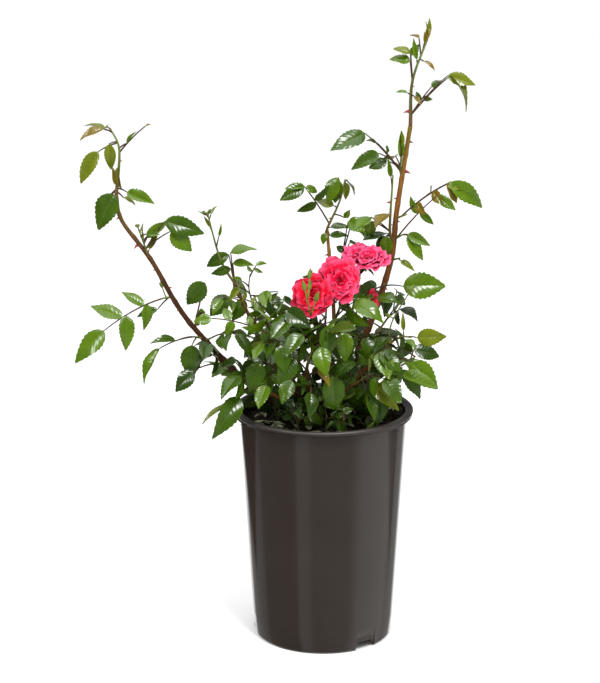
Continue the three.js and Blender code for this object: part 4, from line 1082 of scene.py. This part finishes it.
# Skin colours by the share of the way up a shoot, and out along a leaf's stalk.
GREEN_WOOD = (
    (0.0, (0.17, 0.075, 0.03)), (0.25, (0.13, 0.13, 0.03)), (0.7, (0.12, 0.19, 0.03)),
    (0.9, (0.15, 0.2, 0.035)), (1.0, (0.2, 0.17, 0.04)),
)
STALK_SKIN = (
    (0.0, (0.12, 0.11, 0.03)), (0.2, (0.07, 0.035, 0.018)), (0.6, (0.06, 0.025, 0.02)),
    (0.85, (0.06, 0.03, 0.02)), (1.0, (0.07, 0.08, 0.02)),
)
foliage_nodes = [name for name in SPRAYS if not name.startswith("bloom")]
green_bark = make_bark("green_bark", GREEN_WOOD, -0.2, 0.35)
make_piece("shoots", shoot_shells, [green_bark], foliage_nodes)
YOUNG_PRICKLES = {
    "right_tip": ((0.17, 185, 1.5), (0.45, 20, 0.7)),
    "right_side_shoot": ((0.62, 185, 1.5), (0.3, 10, 0.7)),
    "left_tip": ((0.25, 190, 0.8), (0.5, 10, 0.7)),
    "middle_tip": ((0.2, 190, 0.9),),
}
young_prickles = []
for shoot, places in YOUNG_PRICKLES.items():
    young_prickles += prickles_on(shoot_lines[shoot], SPRAYS[shoot][2], places, prickle_chance)
make_piece("young_prickles", young_prickles, [prickle_horn])
make_piece("leaf_stalks", stalk_shells, [make_bark("stalk_skin", STALK_SKIN, -0.2, 0.4)])
blade_chance = np.random.default_rng(31)
skins = {}
for tint, (dark, light, vein, under) in TINTS.items():
    upper = make_blade_skin(f"leaf_{tint}_upper", dark, light, vein, 0.2, 0.45, 0.0001)
    skins[tint] = [upper, make_blade_skin(f"leaf_{tint}_under", under, under, vein, 0.55, 0.4, -0.0002)]
    large = [plan for plan in leaflet_plans[tint] if plan[3] >= LARGE_LEAFLET]
    small = [plan for plan in leaflet_plans[tint] if plan[3] < LARGE_LEAFLET]
    sets = [blades(large, 9, blade_chance), blades(small, 6, blade_chance)]
    make_piece(f"leaflets_{tint}", sets, skins[tint])

# Old leaflets lie withered on the compost, most of them by the rim on the left.
LITTER = 84
litter_chance = np.random.default_rng(41)
litter_plans = []
for i in range(LITTER):
    by_rim = i % 2 == 0
    bearing = litter_chance.uniform(200, 262) if by_rim else litter_chance.uniform(0, 360)
    reach = litter_chance.uniform(54, 76) if by_rim else litter_chance.uniform(30, 78)
    root = on_soil(bearing, reach, litter_chance.uniform(1.5, 5))
    way = heading(litter_chance.uniform(0, 360), litter_chance.uniform(-6, 14))
    up = square_to(way, UP + 0.35 * litter_chance.uniform(-1, 1, 3))
    size = litter_chance.uniform(13, 24)
    width = size * litter_chance.uniform(0.14, 0.34)
    litter_plans.append((root - way * size / 2, way, up, size, width, 0.3, 0.1))
pale = ((0.11, 0.13, 0.055), (0.32, 0.33, 0.2), (0.4, 0.4, 0.28))
brown = ((0.12, 0.12, 0.07), (0.2, 0.17, 0.1), (0.2, 0.2, 0.1))
withered = [
    make_blade_skin("leaf_withered_upper", *pale, 0.45, 0.45, 0.0001),
    make_blade_skin("leaf_withered_under", *brown, 0.6, 0.4, -0.0002),
]
make_piece("leaf_litter", [blades(litter_plans, 5, blade_chance)], withered)

# ---------------------------------------------------------------------------- the blooms
# Double blooms in a cluster: seven rings of petals round a closed heart, the outer ones broad and
# reflexed, the inner ones folded in. Each petal is thin, velvety, rounded and waved at its rim. A
# green cup with five sepals holds them, and closed buds stand on stems of their own.

# Name, shoot, share, pedicel bearing, rise and length, radius, the bearing and rise it faces, tint
BLOOMS = (
    ("left_bloom", "bloom_left", 0.98, 292, 41, 6, 24, 266, 18, 0),
    ("centre_bloom", "bloom_centre", 0.85, 236, 39, 16, 26.5, 282, 28, 1),
    ("right_bloom", "bloom_right", 0.98, 300, 28, 12, 27.5, 278, 72, 2),
    ("hidden_bloom", "bloom_right", 0.7, 10, -22, 13, 16, 325, 0, 0),
)
# Petals in each ring, how far out it opens in degrees from the axis, and its length by the radius
PETAL_RINGS = (
    (7, 98, 0.98), (8, 82, 0.97), (9, 66, 0.9), (9, 51, 0.8), (9, 37, 0.68), (8, 24, 0.55), (6, 12, 0.42)
)
PETAL_GRID = (8, 11)
PEDICEL_GIRTH = (1.2, 1.4)
BUD_STEM_GIRTH = (0.9, 0.6)


def petals(centre, axis, radius, tint, chance):
    """The petals of a bloom. A petal is a sheet of (across u, along v). Its middle line leaves the
    axis at a third of its opening and bends out evenly to the whole of it. Its half width goes as
    sin(pi (0.1 + 0.62 v)), and its reach and width shrink towards the corners of the rim. Its
    sides lift by u squared, its rim waves and rolls outward, and a second sheet closes it. Its
    place on the surface is how near its rim and how far along it lies."""
    across = square_to(axis, np.array([1.0, 0.1, 0.3]))
    third = np.cross(axis, across)
    ranks = np.repeat(np.arange(len(PETAL_RINGS)), [ring[0] for ring in PETAL_RINGS])
    total = len(ranks)
    shape = (total, 1, 1)
    openings, lengths = (np.array([ring[i] for ring in PETAL_RINGS])[ranks] for i in (1, 2))
    turn = (np.arange(total) * math.radians(SPIRAL) + chance.uniform(-0.2, 0.2, total)).reshape(shape)
    opening = np.radians(np.maximum(openings + chance.uniform(-10, 10, total), 4)).reshape(shape)
    length = (radius * lengths * chance.uniform(0.88, 1.08, total)).reshape(shape)
    wave = chance.uniform(0, 2 * np.pi, shape)
    rows, columns = PETAL_GRID
    v = np.linspace(0, 1, rows)[None, :, None]
    u = np.linspace(-1, 1, columns)[None, None, :]
    bend = opening * (0.35 + 0.65 * v * (1 - 0.3 * np.abs(u) ** 2.5 * v**2))
    scale = length / (0.65 * opening)
    outward = scale * (np.cos(0.35 * opening) - np.cos(bend))
    upward = scale * (np.sin(bend) - np.sin(0.35 * opening))
    half = length * 0.52 * np.sin(np.pi * (0.1 + 0.62 * v)) * np.sqrt(1 - 0.45 * (u * v**2) ** 2)
    notch = 1 - 0.09 * v**3 * (1 - np.abs(u)) ** 2 * chance.uniform(0, 1.6, shape)
    cup = half * 0.4 * u**2 * (1 - 0.55 * v)
    ruffle = 0.08 * np.sin(4.2 * u + wave) + 0.04 * np.sin(9.5 * u + 2.3 * wave + 3 * v)
    ruffle = length * ruffle * v**2.5
    roll = length * 0.1 * v**5 * chance.uniform(0.2, 1.6, shape)
    out = outward * notch - (cup + ruffle) * np.cos(bend) + roll * np.sin(bend) + 0.04 * radius
    lift = upward * notch + (cup + ruffle) * np.sin(bend) - roll * np.cos(bend) * 1.5
    x = out * np.cos(turn) - half * u * np.sin(turn)
    y = out * np.sin(turn) + half * u * np.cos(turn)
    base = centre - axis * 0.42 * radius
    sheet = base + x[..., None] * across + y[..., None] * third + lift[..., None] * axis
    outside = np.cos(turn)[..., None] * across + np.sin(turn)[..., None] * third
    outside = outside * np.cos(bend)[..., None] - np.sin(bend)[..., None] * axis
    inset = np.ones((rows, columns))
    inset[[0, -1], :] = 0
    inset[:, [0, -1]] = 0
    back = sheet + outside * (0.3 * inset)[None, ..., None]
    points = np.stack([sheet, back], 1).reshape(-1, 3)
    quads = sheet_quads(rows, columns)
    faces = np.concatenate([split_quads(quads), split_quads(quads[:, ::-1]) + rows * columns])
    faces = (faces[None] + (np.arange(total) * 2 * rows * columns)[:, None, None]).reshape(-1, 3)
    margin = np.maximum(v, np.abs(u) * np.clip(2.2 * v, 0, 1))[0]
    place = np.stack([margin, np.broadcast_to(v[0], margin.shape)], -1).reshape(-1, 2)
    rim = np.tile(inset.ravel() == 0, 2 * total).astype(int)
    return shell(points, faces, np.tile(place, (2 * total, 1)), rim, np.full(len(faces), tint))


def make_petal_velvet(name, heart, face, rim):
    """Petal skin: deep at its foot, strong over its face, mottled, and pale in a narrow line along
    its rim, with a fine crinkle."""
    material, tree = start_material(name, Roughness=0.6, Specular_IOR_Level=0.06)
    margin, along = surface_place(tree)
    deepened = colour_ramp(tree, along, ((0.15, heart), (0.6, face)))
    mottled = blend_colours(tree, mottle(tree, 160, 0, 0.45), deepened, heart)
    near = {"Value": margin, "From Min": 0.8, "From Max": 0.99}
    edge = add_node(tree, "ShaderNodeMapRange", near).outputs[0]
    colour = blend_colours(tree, edge, mottled, rim)
    return led(material, Base_Color=colour, Normal=bump(tree, mottle(tree, 420), 0.0004))


def sepals(root, axis, length, opening, bend, count):
    """Plans of narrow green leaflets that stand round an axis, opened from it by an angle and bent
    back to it by a share of their length."""
    aside = square_to(axis, np.array([0.9, 0.3, 0.2]))
    cos, sin = math.cos(math.radians(opening)), math.sin(math.radians(opening))
    plans = []
    for i in range(count):
        out = turned(aside, axis, 2 * math.pi * i / count)
        way = axis * cos + out * sin
        plans.append((root + out, way, axis * sin - out * cos, length, 0.3 * length, 0.4, -bend))
    return plans


def bud(foot, axis, length):
    """A closed bud: a limb whose girth swells to a fifth of its length below the middle and runs
    out to a point, with five low ridges round it."""

    def relief(along, turn):
        return np.sin(np.pi * (0.06 + 0.92 * along / length) ** 0.75) * (1 + 0.12 * np.cos(5 * turn))

    line = foot + axis * length * np.linspace(0, 1, 9)[:, None]
    return limb(line, (0.21 * length, 0.21 * length), 10, 9, relief)


# Name, what it stands on, share, then each span's bearing, rise and length, and the bud's length
BUD_STEMS = (
    ("front_buds", "bloom_left", 0.1, ((248, 39, 22), (258, 53, 34), (287, 79, 17), (43, 82, 6)), 9),
    ("front_left_bud", "front_buds", 0.6, ((247, 60, 13), (160, 78, 6)), 9),
    ("front_near_bud", "front_buds", 0.72, ((290, 70, 7), (20, 80, 4)), 8),
    ("front_right_bud", "front_buds", 0.4, ((290, 50, 15), (320, 70, 6)), 10),
    ("right_bud", "right_bud_stem", 0.98, ((14, 59, 4),), 8),
    ("right_low_bud", "right_bud_stem", 0.5, ((215, 30, 5),), 7),
    ("inner_left_bud", "inner_left_tip", 0.93, ((156, 41, 4),), 5),
    ("inner_right_bud", "inner_left_tip", 0.95, ((326, 65, 3),), 5),
    ("left_cane_bud", "left_long_leaf", 0.0, ((195, 0, 6), (215, 67, 12)), 6),
)
# Bearing and reach of short green sprouts by the pot's rim, and their length.
SPROUTS = ((271, 76, 9), (279, 77, 11), (285, 74, 9), (309, 74, 13), (262, 70, 8), (318, 71, 8), (244, 73, 9))
petal_velvets = [
    make_petal_velvet("petal_crimson", (0.38, 0.001, 0.004), (0.62, 0.002, 0.017), (0.68, 0.05, 0.12)),
    make_petal_velvet("petal_rose", (0.4, 0.001, 0.007), (0.63, 0.0045, 0.038), (0.7, 0.08, 0.18)),
    make_petal_velvet("petal_pink", (0.42, 0.0015, 0.014), (0.66, 0.014, 0.085), (0.73, 0.12, 0.25)),
]
petal_chance = np.random.default_rng(14)
petal_shells = []
stem_shells = []
bud_shells = []
sepal_plans = []
for name, shoot, share, bearing, rise, stretch, radius, face_bearing, face_rise, tint in BLOOMS:
    axis = heading(face_bearing, face_rise)
    start = points_along(shoot_lines[shoot], share)[0][0]
    foot = start + heading(bearing, rise) * stretch
    petal_shells.append(petals(foot + axis * 0.4 * radius, axis, radius, tint, petal_chance))
    petal_shells.append(bud(foot, axis, 0.36 * radius))
    t = np.linspace(0, 1, 9)[:, None]
    stem_shells.append(limb(start * (1 - t) + foot * t, PEDICEL_GIRTH, 8, 6))
    bud_shells.append(bud(foot - axis * 7, axis, 10))
    sepal_plans += sepals(foot - axis * 2, axis, 13, 105, 0.12, 5)
for name, stand, share, course, size in BUD_STEMS:
    start = points_along(shoot_lines[stand], share)[0][0]
    line = course_line(start, course)
    shoot_lines[name] = line
    stem_shells.append(limb(line, BUD_STEM_GIRTH, 6, max(6, int(line_length(line) / 3))))
    (foot,), (axis,) = points_along(line, 1)
    bud_shells.append(bud(foot - axis * 0.5, axis, size * 1.25))
    sepal_plans += sepals(foot, axis, size * 0.95, 22, 0.5, 5)
for bearing, reach, size in SPROUTS:
    foot = on_soil(bearing, reach - 3, 2)
    axis = heading(bearing + 40, 62)
    bud_shells.append(bud(foot, axis, size * 1.2))
    sepal_plans += sepals(foot, axis, size * 1.2, 24, 0.4, 3)
bud_green = ((0.0, (0.2, 0.22, 0.04)), (0.5, (0.17, 0.27, 0.03)), (1.0, (0.24, 0.3, 0.05)))
bud_skin = make_bark("bud_skin", bud_green, -0.2, 0.35)
make_piece("petals", petal_shells, petal_velvets, ["bloom_left", "bloom_centre", "bloom_right"])
make_piece("bloom_stems", stem_shells, [bud_skin])
make_piece("buds", bud_shells, [bud_skin])
make_piece("sepals", [blades(sepal_plans, 5, blade_chance)], skins["mid"])

# ---------------------------------------------------------------------------- the studio
# A wide sheet of white paper on the floor of a white room. Two soft lamps hang in front and above,
# and gloss picks up the room's bright and dim walls as upright bands, and its lit ceiling.

FLOOR_SIZE = 60.0
CAMERA_PLACE = (-0.0246, -2.020, 0.849)
CAMERA_PITCH = 14.65
CAMERA_LENS = 105.0
# Brightness of the walls by bearing as a share of a turn, and of the ceiling by height.
WALLS = (
    (0.0, 0.72), (0.055, 0.68), (0.085, 0.44), (0.16, 0.38), (0.178, 1.5), (0.325, 1.5),
    (0.345, 0.4), (0.45, 0.3), (0.472, 0.16), (0.628, 0.14), (0.648, 0.44), (0.684, 0.42),
    (0.708, 0.25), (0.86, 0.29), (0.915, 0.69), (1.0, 0.75),
)
BRIGHTEST = 2.5
CEILING = ((0.0, 0.03), (0.5, 0.04), (0.72, 0.07), (0.86, 0.48), (1.0, 0.58))
# Each dark gap's middle as a share of a turn, how far it moves as the gap opens, and its half width.
LEFT_GAP = (0.39, 0.07, 0.5)
RIGHT_GAP = (0.1065, -0.38, 0.342)


def make_room():
    """The room as a world. Seen straight it is white. It lights matt surfaces more from above
    than from the sides. Gloss sees its walls by bearing, its ceiling by height, and behind, to
    either side, a dark gap between wall and paper that closes towards the floor."""
    world = bpy.data.worlds.new("white_room")
    world.use_nodes = True
    tree = world.node_tree
    background = tree.nodes["Background"]
    place = add_node(tree, "ShaderNodeTexCoord")
    way = add_node(tree, "ShaderNodeSeparateXYZ", {0: place.outputs["Generated"]})
    x, y, z = way.outputs

    def worked(*inputs):
        return math_node(tree, *inputs)

    def brighter(colour, times):
        return add_node(tree, "ShaderNodeVectorMath", {0: colour, 3: times}, operation="SCALE").outputs[0]

    turn = worked("FRACT", worked("DIVIDE", worked("ARCTAN2", y, x), 2 * math.pi))
    walls = colour_ramp(tree, turn, [(share, (level / BRIGHTEST,) * 3) for share, level in WALLS])
    ceiling = colour_ramp(tree, z, [(share, (level,) * 3) for share, level in CEILING])
    opening = worked("MULTIPLY", worked("ADD", z, 0.411), 2.07)
    gaps = []
    for start, moved, half in (LEFT_GAP, RIGHT_GAP):
        middle = worked("MULTIPLY_ADD", opening, moved, start)
        from_middle = worked("ABSOLUTE", worked("SUBTRACT", turn, middle))
        gaps.append(worked("SUBTRACT", worked("MULTIPLY", opening, half), from_middle))
    darkest = worked("MAXIMUM", gaps[0], worked("MINIMUM", gaps[1], 0.0042))
    gap = worked("MULTIPLY", worked("MULTIPLY", darkest, 150.0), worked("LESS_THAN", z, 0.0))
    gap = add_node(tree, "ShaderNodeClamp", {0: gap}).outputs[0]
    walls = brighter(blend_colours(tree, gap, walls, (0.015, 0.012, 0.011)), BRIGHTEST)
    above = add_node(tree, "ShaderNodeMapRange", {"Value": z, "From Min": 0.0, "From Max": 0.25})
    upper = brighter(ceiling, 4.0)
    gloss = blend_colours(tree, above.outputs[0], walls, upper)
    soft = add_node(tree, "ShaderNodeMapRange", {"Value": z, "To Min": 0.42, "To Max": 1.38})
    path = add_node(tree, "ShaderNodeLightPath")
    seen = blend_colours(tree, path.outputs["Is Glossy Ray"], soft.outputs[0], gloss)
    seen = blend_colours(tree, path.outputs["Is Camera Ray"], seen, (1.0, 1.0, 1.0))
    tree.links.new(seen, background.inputs["Color"])
    bpy.context.scene.world = world


def make_floor():
    """A level sheet of matt near-white paper."""
    material, tree = start_material("studio_paper", Roughness=0.9, Specular_IOR_Level=0.1)
    colour = blend_colours(tree, mottle(tree, 3), (0.94, 0.94, 0.94), (0.96, 0.96, 0.96))
    corners = [(x * FLOOR_SIZE / 2, y * FLOOR_SIZE / 2, 0) for x, y in ((-1, -1), (1, -1), (1, 1), (-1, 1))]
    mesh = bpy.data.meshes.new("studio_floor")
    mesh.from_pydata(corners, [], [(0, 1, 2, 3)])
    mesh.materials.append(led(material, Base_Color=colour))
    floor = add_object("studio_floor", mesh)
    floor.visible_glossy = False


def add_lamp(name, place, target, size, watts):
    """A soft rectangular lamp at a place, turned to a target, both in metres."""
    lamp = bpy.data.lights.new(name, "AREA")
    lamp.shape = "RECTANGLE"
    lamp.size, lamp.size_y = size
    lamp.energy = watts
    holder = add_object(name, lamp)
    holder.location = place
    x, y, z = np.array(target) - np.array(place)
    pitch = math.pi / 2 + math.atan2(z, math.hypot(x, y))
    holder.rotation_euler = (pitch, 0, math.atan2(y, x) - math.pi / 2)


make_room()
make_floor()
add_lamp("key_lamp", (0.7, -1.3, 2.3), (0, 0, 0.35), (0.74, 0.74), 48)
add_lamp("side_lamp", (-1.3, -1.1, 1.9), (0, 0, 0.35), (0.6, 0.6), 19)
bpy.context.scene.view_settings.view_transform = "Standard"
camera = add_object("camera", bpy.data.cameras.new("camera"))
camera.location = CAMERA_PLACE
camera.rotation_euler = (math.radians(90 - CAMERA_PITCH), 0, 0)
camera.data.lens = CAMERA_LENS
bpy.context.scene.camera = camera
